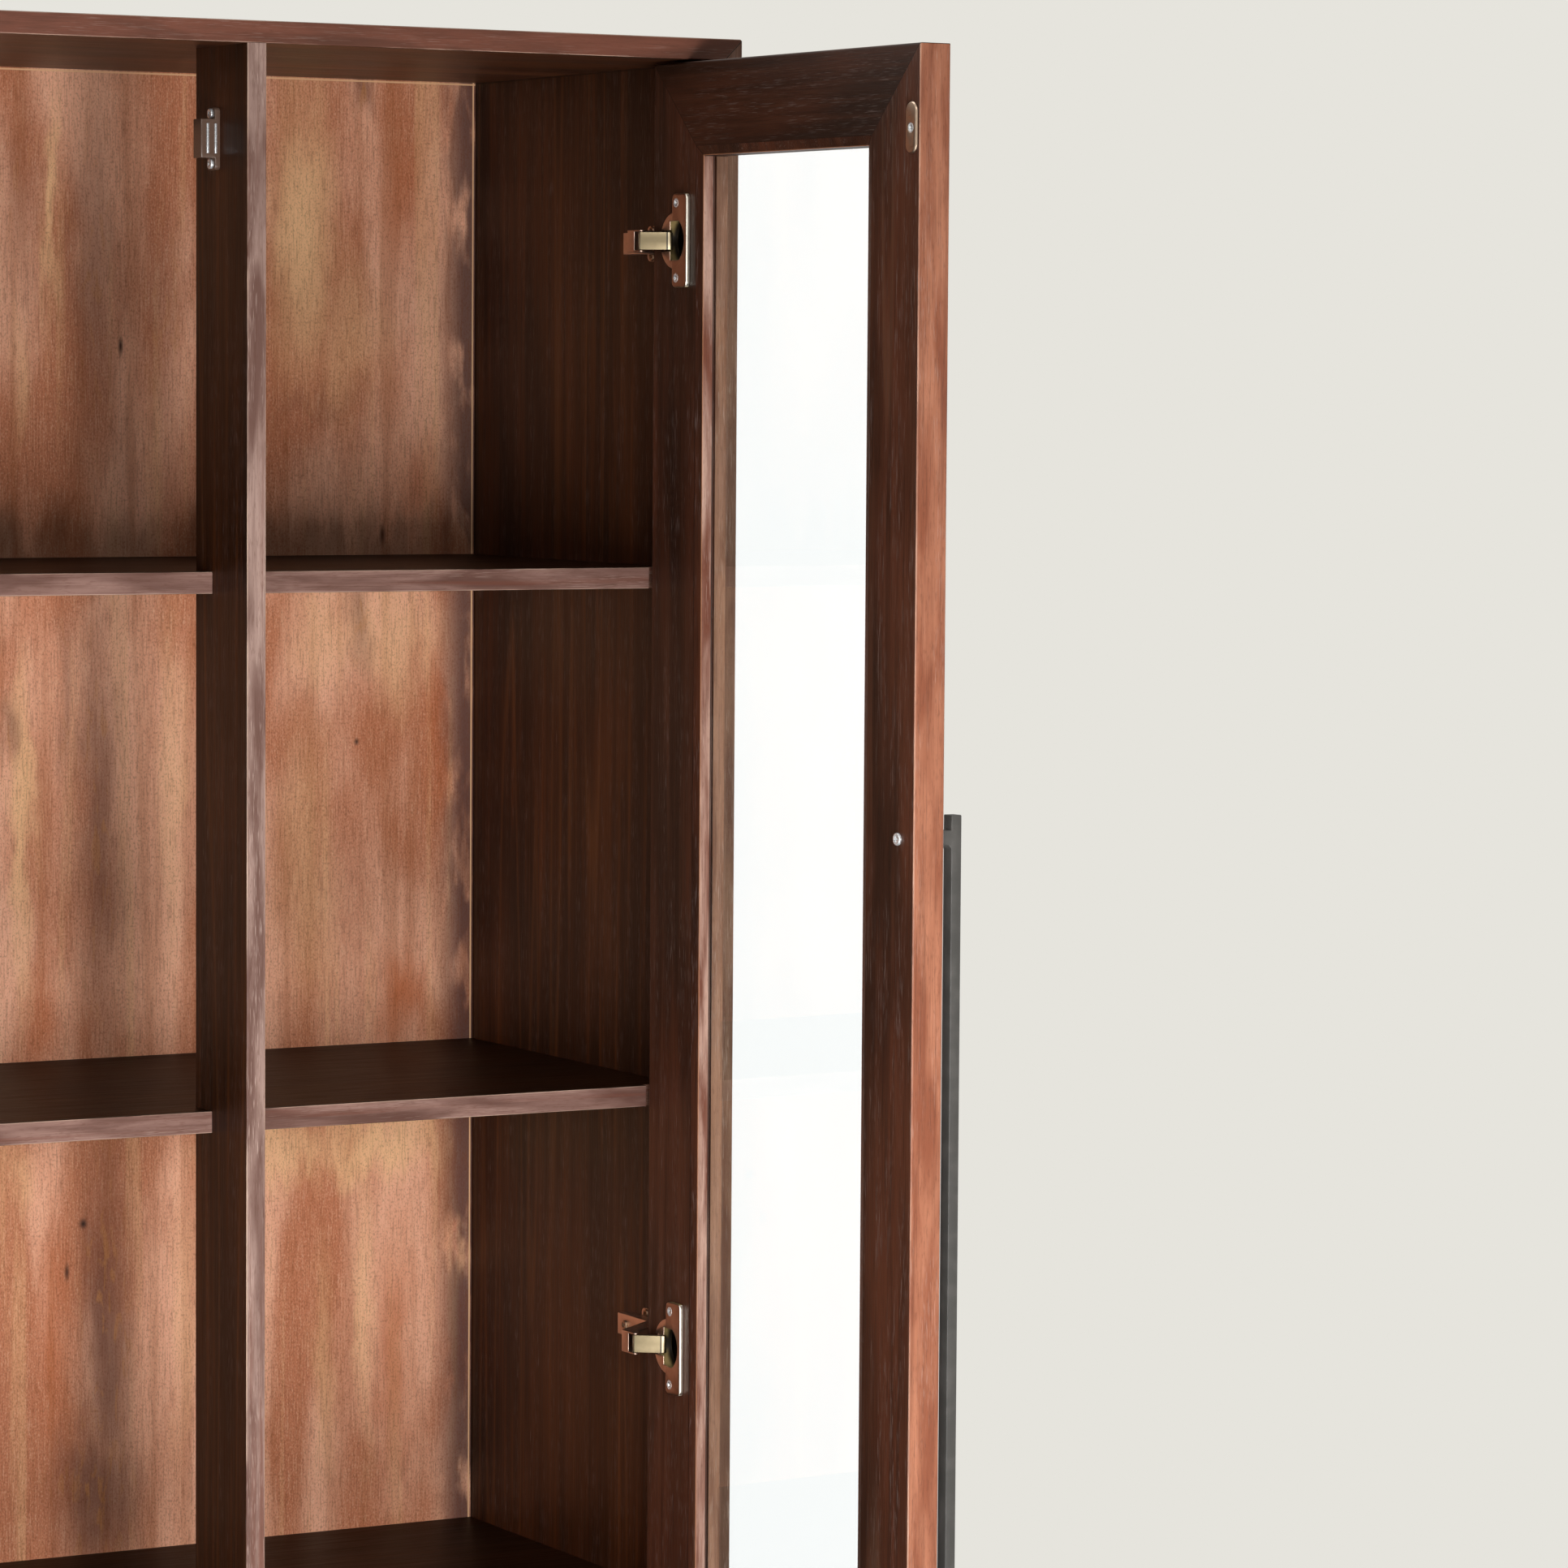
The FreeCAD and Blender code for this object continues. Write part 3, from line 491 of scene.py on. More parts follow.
def veneer(name):
    """Back panel of rotary-cut veneer on plywood, stained by hand and lacquered.

    To the eye: a warm golden brown with soft smoky and rusty clouds, a few knots, ragged golden flecks
    and a fine dark grain, with painted shade and painted light laid into the clouds in places.
    """
    finish, tree = new_finish(name)
    wood = settings().wood
    coords = add(tree, "ShaderNodeTexCoord")
    place = coords.outputs["Object"]
    cloud = figure(tree, place, Z, 70, 210, 2, 0.3)
    streak = figure(tree, place, Z, 16, 420, 2)
    flecks = figure(tree, place, Z, 6, 26, 4, 0.7)
    fibre = figure(tree, place, Z, FIBRE, 18, 2)
    dust = figure(tree, place, Z, DUST, 1.8, 2)
    ragged = figure(tree, place, Z, 18, 60, 3, 0.3)
    # the clouds' rims stray by up to 15 mm across the grain and 45 mm along it
    drift = add(tree, "ShaderNodeVectorMath", {0: ragged.outputs["Color"], 1: (0.5, 0.5, 0.5)},
                operation="SUBTRACT")
    drift = add(tree, "ShaderNodeVectorMath", {0: drift, 1: (0.03, 0, 0.09)}, operation="MULTIPLY")
    strayed = add(tree, "ShaderNodeVectorMath", {0: place, 1: drift}, operation="ADD")
    # stain clouds, with painted shade along the post's shadow and at the top compartment's foot
    smoke_and_painted_shade = patches(tree, strayed, SMOKE_AND_PAINTED_SHADE)
    # golden flecks show through the smoke, where the stain was wiped
    wiped = add(tree, "ShaderNodeMath", {0: smoke_and_painted_shade, 1: share(tree, flecks, 0.53, 0.64, 0.85)},
                operation="MULTIPLY")
    # painted shade darkens the panel over the last 46 mm above the top shelf; along the sides the panel
    # turns darker and purple, partly stain and partly painted shade of the corner; and the very rim is
    # worn bare
    straight = add(tree, "ShaderNodeVectorMath", {0: place}, operation="ABSOLUTE")
    straight = add(tree, "ShaderNodeSeparateXYZ", {0: straight})
    wander = add(tree, "ShaderNodeSeparateXYZ", {0: strayed})
    place_z = add(tree, "ShaderNodeSeparateXYZ", {0: place}).outputs["Z"]
    end, top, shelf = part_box("right_side")[0][X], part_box("top_board")[0][Z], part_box("shelf_1")[1][Z]
    # painted shade: the panel darkens over 46 mm down to the top shelf
    painted_shade_above_shelf = add(tree, "ShaderNodeMath",
                   {0: share(tree, wander.outputs["Z"], shelf + 46 * MM, shelf, 0.55),
                    1: share(tree, place_z, shelf - 8 * MM, shelf - 4 * MM)},
                   operation="MULTIPLY")
    # darker purple band along the sides: partly stain, partly painted shade of the corner
    purple = add(tree, "ShaderNodeMath",
                 {0: share(tree, straight.outputs["X"], end - 38 * MM, end - 8 * MM),
                  1: share(tree, ragged, 0.25, 0.5, 0.85)}, operation="MULTIPLY")
    rim = add(tree, "ShaderNodeMath",
              {0: line(tree, straight.outputs["X"], end - 2.2 * MM, 0.9 * MM),
               1: line(tree, straight.outputs["Z"], top - 1.4 * MM, 0.9 * MM)}, operation="MAXIMUM")

    plain = add(tree, "ShaderNodeMix",
                {"Factor": share(tree, cloud, 0.38, 0.62), "A": wood.panel_low, "B": wood.panel_high},
                data_type="RGBA")
    plain = stained(tree, plain, ((share(tree, fibre, 0.54, 0.72, 0.2), "#FFD9B4"),
                                  (share(tree, dust, 0.54, 0.72, 0.25), "#FFDDBC")))
    grain = ((share(tree, fibre, 0.5, 0.3, 0.3), "#7C4628"),
             (share(tree, dust, 0.5, 0.3, 0.35), "#6C3A20"))
    # the smoke and gold patches hold painted shade and painted light along with the stain
    clouds = ((share(tree, streak, 0.48, 0.3, 0.4), "#B26A42"),
              (share(tree, streak, 0.54, 0.7, 0.3), "#FFCB95"),
              (patches(tree, strayed, GOLD_AND_PAINTED_LIGHT), "#FFCA96"), (patches(tree, strayed, RUST), "#C2622F"),
              (smoke_and_painted_shade, "#6A4238"), (wiped, "#C9874F"), (purple, "#4A3234"), (painted_shade_above_shelf, "#44301F"),
              (patches(tree, place, KNOTS), "#3A2620"))
    joint = line(tree, straight.outputs["X"], end, 1.0 * MM)
    colour = stained(tree, plain, clouds + grain + ((rim, "#F0BE90"), (joint, "#2A1913")))
    # the far side is bare of clouds and stained more weakly
    facing = add(tree, "ShaderNodeSeparateXYZ", {0: coords.outputs["Normal"]}).outputs["Y"]
    far_side = stained(tree, plain, ((0.8, "#8A5F48"),) + grain)
    colour = add(tree, "ShaderNodeMix",
                 {"Factor": share(tree, facing, -0.5, 0.3), "A": colour, "B": far_side},
                 data_type="RGBA")
    bump = add(tree, "ShaderNodeBump", {"Height": dust, "Strength": 0.3, "Distance": 0.1 * MM})
    shader = add(tree, "ShaderNodeBsdfPrincipled",
                 {"Base Color": colour, "Roughness": 0.5, "IOR": 1.5, "Specular IOR Level": 0.12,
                  "Normal": bump})
    finish_surface(tree, shader)
    return finish


# ---------------- metal, plastic and glass
def plated(name, colour, roughness, metallic=1.0, marks=None):
    """Pressed steel, plated and barrel polished: a soft mirror with faint cloudiness.

    marks adds coats of colour, and tells how much of the surface is dulled.
    """
    finish, tree = new_finish(name)
    coords = add(tree, "ShaderNodeTexCoord")
    haze = add(tree, "ShaderNodeTexNoise",
               {"Vector": coords.outputs["Object"], "Scale": HAZE_SCALE, "Detail": 3.0})
    rough = add(tree, "ShaderNodeMapRange",
                {"Value": haze, "From Min": 0.3, "From Max": 0.7, "To Min": roughness * 0.9,
                 "To Max": roughness * 1.15})
    tint = add(tree, "ShaderNodeMix",
               {"Factor": share(tree, haze, 0.4, 0.7, 0.2), "A": colour,
                "B": [c * 0.8 for c in colour[:3]] + [1.0]}, data_type="RGBA")
    if marks:
        coats, dulled = marks(tree, coords)
        tint = stained(tree, tint, coats)
        metallic = share(tree, dulled, 1.0, 0.0, metallic)
    bump = add(tree, "ShaderNodeBump", {"Height": haze, "Strength": 0.1, "Distance": 0.02 * MM})
    shader = add(tree, "ShaderNodeBsdfPrincipled",
                 {"Base Color": tint, "Metallic": metallic, "Roughness": rough, "Normal": bump})
    finish_surface(tree, shader)
    return finish


def reach(node, way):
    """How far a node's mesh reaches along a direction."""
    return max(v.co.dot(way) for v in frame["nodes"][node].data.vertices)


def cup_levels(side):
    """Heights of the hinge cups on one side."""
    heights = sorted(v.co.z for v in frame["nodes"][side + "_hinge_cups"].data.vertices)
    groups = [[heights[0]]]
    for height in heights[1:]:
        if height - groups[-1][-1] > CUPS_APART:
            groups.append([])
        groups[-1].append(height)
    return [(group[0] + group[-1]) / 2 for group in groups]


def cup_marks(side):
    """A painted highlight on the cut rim of the cups' plates that faces the free edge, a painted
    reflection of brown wood on the plates' flat face, a brass-brown film of grease inside, and painted
    shade on each cup's floor and behind the link.
    """
    node, way, inward = side + "_hinge_cups", door_way(side), door_inward(side)

    def marks(tree, coords):
        place = coords.outputs["Object"]
        along = add(tree, "ShaderNodeVectorMath", {0: place, 1: way}, operation="DOT_PRODUCT")
        facing = add(tree, "ShaderNodeVectorMath", {0: coords.outputs["Normal"], 1: way},
                     operation="DOT_PRODUCT")
        height = add(tree, "ShaderNodeVectorMath", {0: place, 1: inward}, operation="DOT_PRODUCT")
        end, face = reach(node, way), reach(node, inward)
        # painted highlight: near white on the plates' cut rim that faces the free edge, where the light
        # falls
        rim = add(tree, "ShaderNodeMath",
                  {0: share(tree, along.outputs["Value"], end - 2.4 * MM, end - 1.6 * MM),
                   1: share(tree, facing.outputs["Value"], 0.2, 0.6)}, operation="MULTIPLY")
        upright = add(tree, "ShaderNodeVectorMath", {0: coords.outputs["Normal"], 1: inward},
                      operation="DOT_PRODUCT")
        lip = add(tree, "ShaderNodeMath",
                  {0: share(tree, height.outputs["Value"], face - 0.2 * MM, face - 1.2 * MM),
                   1: share(tree, upright.outputs["Value"], 0.5, 0.2)}, operation="MULTIPLY")
        inner = add(tree, "ShaderNodeMath",
                    {0: share(tree, along.outputs["Value"], end - 1.0 * MM, end - 2.0 * MM), 1: lip},
                    operation="MULTIPLY")
        # the floor of each cup is in shade, and so is the middle of its wall, behind the link
        shaded = share(tree, height.outputs["Value"], face - 8 * MM, face - 13 * MM)
        rise = add(tree, "ShaderNodeSeparateXYZ", {0: place}).outputs["Z"]
        for level in cup_levels(side):
            band = add(tree, "ShaderNodeMath", {0: line(tree, rise, level, 11 * MM), 1: inner},
                       operation="MULTIPLY")
            shaded = add(tree, "ShaderNodeMath", {0: shaded, 1: band}, operation="MAXIMUM")
        # painted reflection: the plates' flat face is browned as if mirroring the wood around it
        painted_reflection_face = add(tree, "ShaderNodeMath",
                     {0: share(tree, height.outputs["Value"], face - 0.5 * MM, face - 0.1 * MM, 0.6),
                      1: share(tree, upright.outputs["Value"], 0.9, 0.98)}, operation="MULTIPLY")
        return [(painted_reflection_face, "#8E7060"), (inner, "#9A8456"), (shaded, "#1E170E"), (rim, "#FBF3E4")], inner
    return marks


def link_marks(side):
    """Painted highlights along both tips of the hinge links, where rolled tips would catch the light, and
    a painted shade line for the dark gap before the end in the cup.
    """
    node = side + "_hinge_links"
    points = [v.co.to_2d() for v in frame["nodes"][node].data.vertices]
    base = [v.co.to_2d() for v in frame["nodes"][side + "_hinge_arms"].data.vertices]
    base = sum(base, Vector((0, 0))) / len(base)
    cup_end = max(points, key=lambda p: (p - base).length)
    arm_end = max(points, key=lambda p: (p - cup_end).length)
    way = (cup_end - arm_end).normalized().to_3d()
    last, first = cup_end.to_3d().dot(way), arm_end.to_3d().dot(way)

    def marks(tree, coords):
        along = add(tree, "ShaderNodeVectorMath", {0: coords.outputs["Object"], 1: way},
                    operation="DOT_PRODUCT")
        along = along.outputs["Value"]
        # painted highlight on both tips of the link
        painted_end_highlights = add(tree, "ShaderNodeMath",
                   {0: line(tree, along, last - 1.5 * MM, 0.8 * MM),
                    1: share(tree, along, first + 1.6 * MM, first + 1.2 * MM)}, operation="MAXIMUM")
        # painted shade: a dark line for the gap before the end in the cup
        gap = line(tree, along, last - 2.7 * MM, 0.7 * MM)
        return [(painted_end_highlights, "#BFB196"), (gap, "#1C150E")], gap
    return marks


def stoved_lacquer(name, colour):
    """Steel bar, stoved semi-matt lacquer: almost black, with fine orange peel and pale smears."""
    finish, tree = new_finish(name)
    coords = add(tree, "ShaderNodeTexCoord")
    peel = add(tree, "ShaderNodeTexNoise",
               {"Vector": coords.outputs["Object"], "Scale": PEEL_SCALE, "Detail": 2.0})
    smears = add(tree, "ShaderNodeTexNoise",
                 {"Vector": coords.outputs["Object"], "Scale": SMEAR_SCALE, "Detail": 4.0})
    tint = add(tree, "ShaderNodeMix",
               {"Factor": share(tree, smears, 0.35, 0.75, 0.35), "A": colour, "B": linear("#6B6763")},
               data_type="RGBA")
    bump = add(tree, "ShaderNodeBump", {"Height": peel, "Strength": 0.3, "Distance": 0.04 * MM})
    shader = add(tree, "ShaderNodeBsdfPrincipled",
                 {"Base Color": tint, "Roughness": 0.5, "IOR": 1.5, "Normal": bump})
    finish_surface(tree, shader)
    return finish


def moulded_plastic(name):
    """Injection-moulded ABS in brown: even colour with a fine spark-eroded grain."""
    finish, tree = new_finish(name)
    coords = add(tree, "ShaderNodeTexCoord")
    grain = add(tree, "ShaderNodeTexNoise", {"Vector": coords.outputs["Object"], "Scale": SPARK_SCALE})
    tint = add(tree, "ShaderNodeMix",
               {"Factor": share(tree, grain, 0.3, 0.7, 0.3), "A": linear("#604A3E"),
                "B": linear("#4A362C")},
               data_type="RGBA")
    bump = add(tree, "ShaderNodeBump", {"Height": grain, "Strength": 0.3, "Distance": 0.03 * MM})
    shader = add(tree, "ShaderNodeBsdfPrincipled",
                 {"Base Color": tint, "Roughness": 0.27, "IOR": 1.54, "Normal": bump})
    finish_surface(tree, shader)
    return finish


def float_glass(name):
    """Clear soda-lime float glass.

    To the eye: all but colourless, with a sharp mirror image.  Lamps shine through it, as they do
    through a real pane.
    """
    finish, tree = new_finish(name)
    coords = add(tree, "ShaderNodeTexCoord")
    wave = add(tree, "ShaderNodeTexNoise",
               {"Vector": coords.outputs["Object"], "Scale": WAVE_SCALE, "Detail": 1.0})
    bump = add(tree, "ShaderNodeBump", {"Height": wave, "Strength": 0.05, "Distance": 0.2 * MM})
    glass = add(tree, "ShaderNodeBsdfPrincipled",
                {"Base Color": linear("#FCFFFE"), "Roughness": 0.0, "IOR": 1.52,
                 "Transmission Weight": 1.0, "Normal": bump})
    clear = add(tree, "ShaderNodeBsdfTransparent", {"Color": linear("#F2F8F6")})
    path = add(tree, "ShaderNodeLightPath")
    shader = add(tree, "ShaderNodeMixShader",
                 {0: path.outputs["Is Shadow Ray"], 1: glass, 2: clear})
    finish_surface(tree, shader)
    return finish


# ---------------- pieces drawn again
def merged(node):
    """A copy of a node's mesh with its doubled corners joined and its flat faces made whole."""
    bm = bmesh.new()
    bm.from_mesh(frame["nodes"][node].data)
    bmesh.ops.remove_doubles(bm, verts=bm.verts, dist=WELD)
    bmesh.ops.dissolve_limit(bm, angle_limit=FLAT, verts=bm.verts, edges=bm.edges)
    return bm


def ease(bm, edges, radius, segments=2):
    """Rounds edges as tumbling or moulding does, so that they catch the light."""
    bmesh.ops.bevel(bm, geom=edges, offset=radius, offset_type="OFFSET", segments=segments, profile=0.5,
                    affect="EDGES", clamp_overlap=False, material=-1)


def sharp_edges(bm):
    """The edges of a mesh that are worth easing."""
    return [e for e in bm.edges if e.is_manifold and e.calc_face_angle() > SHARP]


def stand_in(mesh, node, finish):
    """Shows a mesh in a node's place, on the same body."""
    mesh.shade_smooth()
    mesh.set_sharp_from_angle(angle=SMOOTH)
    piece = bpy.data.objects.new(node + "_dressed", mesh)
    bpy.context.scene.collection.objects.link(piece)
    paint(piece, finish)
    carrier = frame["nodes"][node].parent
    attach(piece, next(name for name, empty in frame["bodies"].items() if empty == carrier))
    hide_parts(node)


def eased(node, radius, finish):
    """Redraws a node with softly rounded edges."""
    bm = merged(node)
    ease(bm, sharp_edges(bm), radius)
    mesh = bpy.data.meshes.new(node + "_dressed")
    bm.to_mesh(mesh)
    bm.free()
    stand_in(mesh, node, finish)


def islands(bm):
    """The corners of each loose part, in the mesh's order, so that each run is the same."""
    left = set(bm.verts)
    parts = []
    for first in bm.verts:
        if first not in left:
            continue
        left.remove(first)
        part, reached = [], [first]
        while reached:
            vert = reached.pop()
            part.append(vert)
            for edge in vert.link_edges:
                other = edge.other_vert(vert)
                if other in left:
                    left.remove(other)
                    reached.append(other)
        parts.append(part)
    return parts


def cross_cutter(bm, centre, way, angle, span):
    """A tapered cross that a driver's tip would leave, from just over a head into it."""
    arm, half, turn = span / 2, span / 9, Matrix.Rotation(angle, 3, way)
    over, into = 0.3 * MM, -0.32 * span
    outline = ((half, half), (half, arm), (-half, arm), (-half, half), (-arm, half), (-arm, -half),
               (-half, -half), (-half, -arm), (half, -arm), (half, -half), (arm, -half), (arm, half))
    side = way.orthogonal().normalized()
    up = way.cross(side)
    rings = []
    for height, size in ((over, 1.1), (into, 0.6)):
        rings.append([bm.verts.new(centre + way * height + turn @ (side * x + up * y) * size)
                      for x, y in outline])
    bm.faces.new(rings[0])
    bm.faces.new(reversed(rings[1]))
    for i in range(len(outline)):
        j = (i + 1) % len(outline)
        bm.faces.new((rings[0][i], rings[1][i], rings[1][j], rings[0][j]))


def screws(node, way, span, rim, finish):
    """Redraws a node's screws with rounded heads and cross recesses, each turned a little further.

    way gives the outward side of a screw from its middle, span is the width of the cross, and rim the
    rounding of the head.
    """
    bm, cutters = merged(node), bmesh.new()
    rims = {}
    for number, part in enumerate(islands(bm)):
        out = way(sum((v.co for v in part), Vector()) / len(part))
        top = max(v.co.dot(out) for v in part)
        ring = [v for v in part if v.co.dot(out) > top - WELD]
        centre = sum((v.co for v in ring), Vector()) / len(ring)
        cross_cutter(cutters, centre, out, 0.9 * number, span)
        rims.update(dict.fromkeys(e for v in ring for e in v.link_edges if e.other_vert(v) in ring))
    bmesh.ops.recalc_face_normals(cutters, faces=cutters.faces)
    ease(bm, list(rims), rim, 3)
    meshes = []
    for made in (bm, cutters):
        meshes.append(bpy.data.meshes.new(node + "_dressed"))
        made.to_mesh(meshes[-1])
        made.free()
    heads, tool = (bpy.data.objects.new(node + "_work", mesh) for mesh in meshes)
    for obj in (heads, tool):
        bpy.context.scene.collection.objects.link(obj)
    cut = heads.modifiers.new("recess", "BOOLEAN")
    cut.operation = "DIFFERENCE"
    cut.solver = "EXACT"
    cut.object = tool
    shown = heads.evaluated_get(bpy.context.evaluated_depsgraph_get())
    mesh = bpy.data.meshes.new_from_object(shown)
    for obj in (heads, tool):
        bpy.data.objects.remove(obj)
    for used in meshes:
        bpy.data.meshes.remove(used)
    stand_in(mesh, node, finish)


# ---------------- operators
class CABINET_OT_boards(bpy.types.Operator):
    """Stains the box, the post, the shelves and the plinth."""

    bl_idname = "cabinet.boards"
    bl_label = "Boards"

    def execute(self, context):
        along = {"top_board": X, "bottom_board": X, "left_side": Z, "right_side": Z, "centre_post": Z,
                 "shelf_1": X, "shelf_2": X, "shelf_3": X, "shelf_4": X, "shelf_lippings": X,
                 "plinth_front_rail": X, "plinth_back_rail": X, "plinth_side_rails": Y,
                 "plinth_centre_rail": Y}
        low, high = (Vector(corner) for corner in (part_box("left_side")[0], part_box("right_side")[1]))
        outline = ((low + high) / 2, (high.x - low.x) / 2, (high.z - low.z) / 2)
        wood = settings().wood
        stain = (wood.board_low, wood.board_high)
        for seed, (node, grain) in enumerate(along.items(), 1):
            edge = BOARD_EDGES.get(node, BOARD_EDGE)
            # shelves take a strong painted shade, as the top board keeps the light off them
            gloss, depth = (0.04, 0.8) if node.startswith("shelf_") else (0.2, 0.0)
            marks = None
            if node in ("top_board", "bottom_board", "left_side", "right_side"):
                marks = lambda tree, turned: mitre_marks(tree, turned, outline)
            finish = walnut("walnut_" + node, grain, seed, edge, stain, BOARD_FIGURE, gloss=gloss,
                            depth=depth, marks=marks)
            paint(frame["nodes"][node], finish)
        return {"FINISHED"}


class CABINET_OT_back_panel(bpy.types.Operator):
    """Stains the veneered back panel."""

    bl_idname = "cabinet.back_panel"
    bl_label = "Back panel"

    def execute(self, context):
        paint(frame["nodes"]["back_panel"], veneer("stained_veneer"))
        return {"FINISHED"}


class CABINET_OT_doors(bpy.types.Operator):
    """Stains the stiles, rails and glazing beads of both doors."""

    bl_idname = "cabinet.doors"
    bl_label = "Door frames"

    def execute(self, context):
        along = {"hinge_stile": Z, "free_stile": Z, "top_rail": X, "bottom_rail": X, "glazing_beads": Z}
        wood = settings().wood
        stain = (wood.frame_low, wood.frame_high)
        for number, side in enumerate(SIDES):
            outline = door_outline(side)
            for seed, (part, grain) in enumerate(along.items(), 20 + 10 * number):
                node = side + "_" + part
                edge = FRAME_EDGES.get(part, FRAME_EDGE)
                drawn = bead_marks if part == "glazing_beads" else mitre_marks
                # rails take a little painted shade
                depth = 0.3 if part.endswith("rail") else 0.0
                finish = walnut("walnut_" + node, grain, seed, edge, stain, FRAME_FIGURE,
                                door_turn(side), door_way(side), depth=depth,
                                marks=lambda tree, turned: drawn(tree, turned, outline))
                paint(frame["nodes"][node], finish)
        return {"FINISHED"}


class CABINET_OT_glass(bpy.types.Operator):
    """Glazes both doors."""

    bl_idname = "cabinet.glass"
    bl_label = "Glass"

    def execute(self, context):
        glass = float_glass("float_glass")
        for side in SIDES:
            paint(frame["nodes"][side + "_glass"], glass)
        return {"FINISHED"}


class CABINET_OT_fittings(bpy.types.Operator):
    """Eases and plates the hinges, catches, strikes and screws, and lacquers the handles."""

    bl_idname = "cabinet.fittings"
    bl_label = "Fittings"

    def execute(self, context):
        metal = settings().metal
        bronze = plated("bronze_plated_steel", metal.bronze, 0.32)
        # the pale film of passivation scatters part of the light
        zinc = plated("zinc_plated_steel", metal.zinc, 0.26, 0.6)
        yellowed = plated("zinc_plated_yellowed", linear("#A98F78"), 0.4)
        brown = plated("strike_steel", metal.strike, 0.3)
        lacquer = stoved_lacquer("black_lacquered_steel", metal.lacquer)
        for side in SIDES:
            rimmed = plated("bronze_plated_cups_" + side, metal.bronze, 0.32, marks=cup_marks(side))
            eased(side + "_hinge_cups", 0.45 * MM, rimmed)
            eased(side + "_hinge_arms", 0.4 * MM, bronze)
            eased(side + "_hinge_plates", 0.4 * MM, bronze)
            nickel = plated("nickel_plated_links_" + side, metal.nickel, 0.34, marks=link_marks(side))
            eased(side + "_hinge_links", 0.35 * MM, nickel)
            eased(side + "_strike_plate", 0.2 * MM, brown)
            eased(side + "_handle", 0.5 * MM, lacquer)
            inward = door_inward(side)
            middle = Vector((-1 if side == "right" else 1, 0, 0))
            screws(side + "_cup_screws", lambda spot: inward, 4.0 * MM, 0.4 * MM, zinc)
            screws(side + "_strike_screw", lambda spot: inward, 4.0 * MM, 0.4 * MM, zinc)
            screws(side + "_handle_screws", lambda spot: inward, 4.6 * MM, 0.6 * MM, zinc)
            screws(side + "_plate_screws", lambda spot: middle, 4.0 * MM, 0.6 * MM, yellowed)
            screws(side + "_arm_screws", lambda spot: middle, 4.0 * MM, 0.6 * MM, yellowed)
        eased("catch_bodies", 0.4 * MM, moulded_plastic("brown_abs"))
        eased("catch_poles", 0.2 * MM, zinc)
        screws("catch_screws", lambda spot: Vector((math.copysign(1, spot.x), 0, 0)), 4.0 * MM,
               0.5 * MM, zinc)
        screws("back_panel_screws", lambda spot: Vector((0, 1, 0)), 4.0 * MM, 0.5 * MM, zinc)
        return {"FINISHED"}


class CABINET_OT_stage(bpy.types.Operator):
    """Lays the floor, hangs the lamps and places the camera."""

    bl_idname = "cabinet.stage"
    bl_label = "Stage"

    def execute(self, context):
        lay_floor()
        light_world()
        hang_lamps()
        place_camera()
        context.scene.view_settings.view_transform = "Standard"
        return {"FINISHED"}


# ---------------- stage
def lay_floor():
    """A disc of matt paper, flat and pale, that fades out at its rim, so that no horizon shows."""
    mesh = bpy.data.meshes.new("studio_floor")
    bm = bmesh.new()
    bmesh.ops.create_circle(bm, cap_ends=True, segments=96, radius=FLOOR_RADIUS)
    bm.to_mesh(mesh)
    bm.free()
    floor = bpy.data.objects.new("studio_floor", mesh)
    bpy.context.scene.collection.objects.link(floor)
    finish, tree = new_finish("pale_paper")
    coords = add(tree, "ShaderNodeTexCoord")
    out = add(tree, "ShaderNodeVectorMath", {0: coords.outputs["Object"]}, operation="LENGTH")
    fade = share(tree, out.outputs["Value"], FLOOR_RADIUS * 0.5, FLOOR_RADIUS * 0.97)
    paper = add(tree, "ShaderNodeBsdfPrincipled",
                {"Base Color": settings().stage.backdrop, "Roughness": 0.9, "Specular IOR Level": 0.1})
    clear = add(tree, "ShaderNodeBsdfTransparent")
    finish_surface(tree, add(tree, "ShaderNodeMixShader", {0: fade, 1: paper, 2: clear}))
    paint(floor, finish)


def light_world():
    """Low even light for surfaces, and a pale backdrop where the eye or a reflection meets it."""
    world = bpy.data.worlds.new("studio")
    bpy.context.scene.world = world
    world.use_nodes = True
    tree = world.node_tree
    tree.nodes.clear()
    path = add(tree, "ShaderNodeLightPath")
    direct = add(tree, "ShaderNodeMath", {0: path.outputs["Diffuse Depth"], 1: 0.5},
                 operation="LESS_THAN")
    seen = add(tree, "ShaderNodeMath",
               {0: path.outputs["Is Camera Ray"], 1: path.outputs["Is Glossy Ray"]},
               operation="MAXIMUM")
    seen = add(tree, "ShaderNodeMath", {0: seen, 1: direct}, operation="MULTIPLY")
    passed = add(tree, "ShaderNodeMath", {0: path.outputs["Is Transmission Ray"], 1: direct},
                 operation="MULTIPLY")
    fill = add(tree, "ShaderNodeBackground", {"Color": linear("#FFFFFF"), "Strength": 0.05})
    backdrop = add(tree, "ShaderNodeBackground", {"Color": settings().stage.backdrop, "Strength": 1.0})
    white = add(tree, "ShaderNodeBackground", {"Color": linear("#FFFFFF"), "Strength": 1.15})
    shown = add(tree, "ShaderNodeMixShader", {0: seen, 1: fill, 2: backdrop})
    through = add(tree, "ShaderNodeMixShader", {0: passed, 1: shown, 2: white})
    add(tree, "ShaderNodeOutputWorld", {"Surface": through})


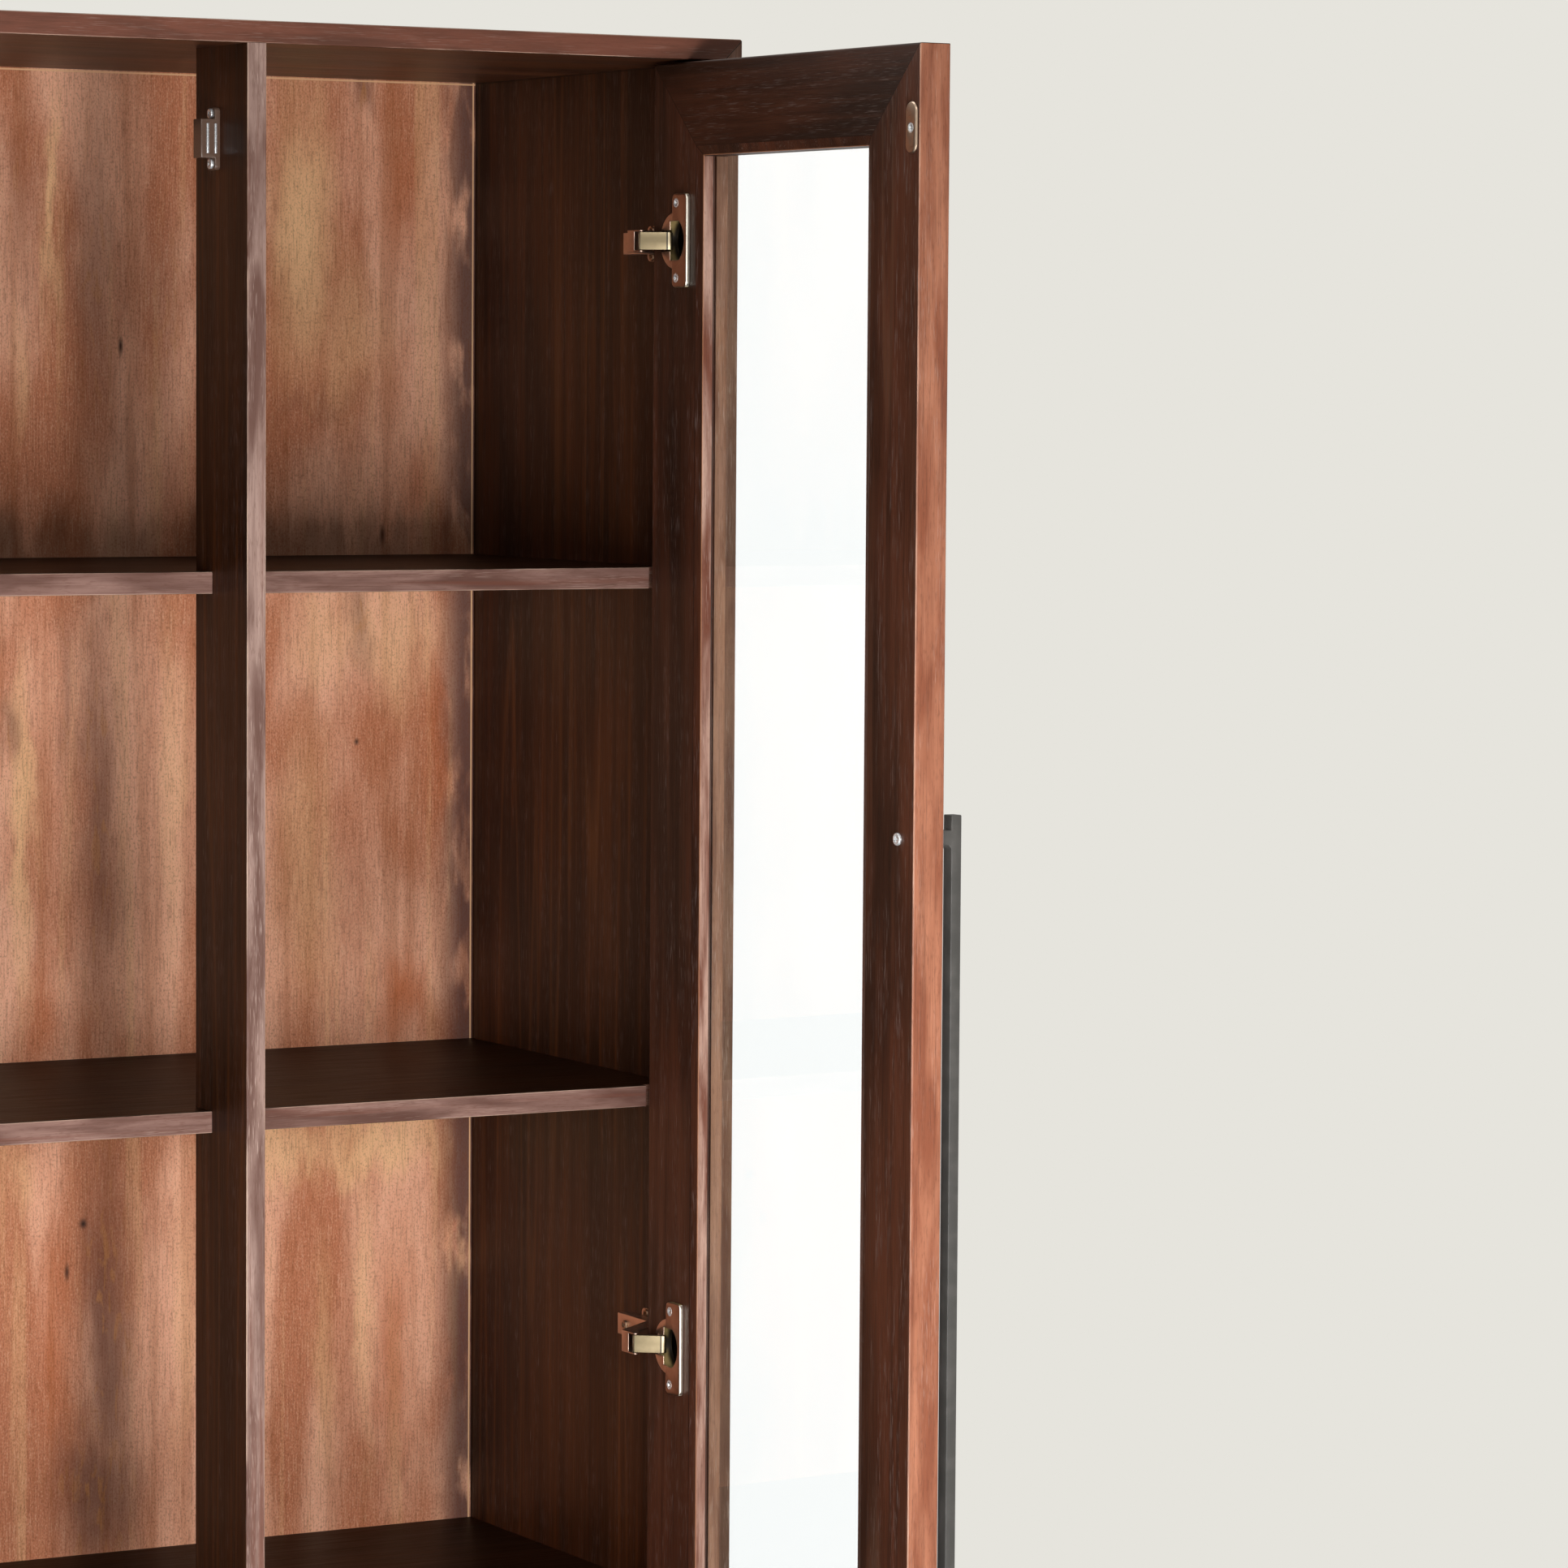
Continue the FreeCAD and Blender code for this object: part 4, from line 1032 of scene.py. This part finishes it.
def hang_lamp(name, place, target, width, height, part):
    """A rectangular lamp that shines at a target, with a part of the key's power."""
    data = bpy.data.lights.new(name, "AREA")
    data.shape = "RECTANGLE"
    data.size = width
    data.size_y = height
    data.energy = settings().stage.key_power * part
    lamp = bpy.data.objects.new(name, data)
    bpy.context.scene.collection.objects.link(lamp)
    lamp.location = place
    lamp.rotation_euler = (Vector(target) - Vector(place)).to_track_quat("-Z", "Y").to_euler()
    lamp.visible_camera = False
    lamp.visible_transmission = False
    return lamp


def spare_the_glass(lamp):
    """Keeps a lamp's hard white rectangle out of the panes, which then mirror the softer lamps."""
    spared = bpy.data.collections.new(lamp.name + "_spares")
    for side in SIDES:
        spared.objects.link(frame["nodes"][side + "_glass"])
    for entry in spared.collection_objects:
        entry.light_linking.link_state = "EXCLUDE"
    lamp.light_linking.receiver_collection = spared


def hang_lamps():
    """A narrow key in front, light thrown back by the floor, a bar above, and fills all round."""
    spare_the_glass(hang_lamp(*KEY_LAMP))
    for lamp in OTHER_LAMPS:
        hang_lamp(*lamp)


def place_camera():
    """A long lens in front and to the left, below the cabinet's top and looking slightly down."""
    yaw, pitch, roll = (math.radians(angle) for angle in CAMERA_TURN)
    forward = Vector((math.sin(yaw) * math.cos(pitch), math.cos(yaw) * math.cos(pitch),
                      -math.sin(pitch)))
    level = Vector((math.cos(yaw), -math.sin(yaw), 0))
    upright = level.cross(forward)
    right = level * math.cos(roll) + upright * math.sin(roll)
    up = upright * math.cos(roll) - level * math.sin(roll)
    data = bpy.data.cameras.new("camera")
    data.sensor_width = 36.0
    data.lens = settings().stage.lens
    camera = bpy.data.objects.new("camera", data)
    bpy.context.scene.collection.objects.link(camera)
    turn = Matrix((right, up, -forward)).transposed()
    camera.matrix_world = Matrix.Translation(CAMERA_PLACE) @ turn.to_4x4()
    bpy.context.scene.camera = camera


# ---------------- panel and registration
STEPS = (CABINET_OT_boards, CABINET_OT_back_panel, CABINET_OT_doors, CABINET_OT_glass,
         CABINET_OT_fittings, CABINET_OT_stage)


class CABINET_PT_steps(bpy.types.Panel):
    """Lists the steps that finish the cabinet."""

    bl_idname = "CABINET_PT_steps"
    bl_label = "Display cabinet"
    bl_space_type = "VIEW_3D"
    bl_region_type = "UI"
    bl_category = "Cabinet"

    def draw(self, context):
        layout = self.layout
        for group in (settings().wood, settings().metal, settings().stage):
            box = layout.box()
            for key in group.__annotations__:
                box.prop(group, key)
        for step in STEPS:
            layout.operator(step.bl_idname)


CLASSES = (CabinetWood, CabinetMetal, CabinetStage, CabinetSettings) + STEPS + (CABINET_PT_steps,)


def register():
    """Makes the settings, the steps and the panel known."""
    for cls in CLASSES:
        bpy.utils.register_class(cls)
    bpy.types.Scene.display_cabinet = PointerProperty(type=CabinetSettings)


def unregister():
    """Takes them away again."""
    del bpy.types.Scene.display_cabinet
    for cls in reversed(CLASSES):
        bpy.utils.unregister_class(cls)


def main():
    """Runs every step in order."""
    register()
    for step in STEPS:
        group, name = step.bl_idname.split(".")
        getattr(getattr(bpy.ops, group), name)()


if __name__ == "__main__":
    main()
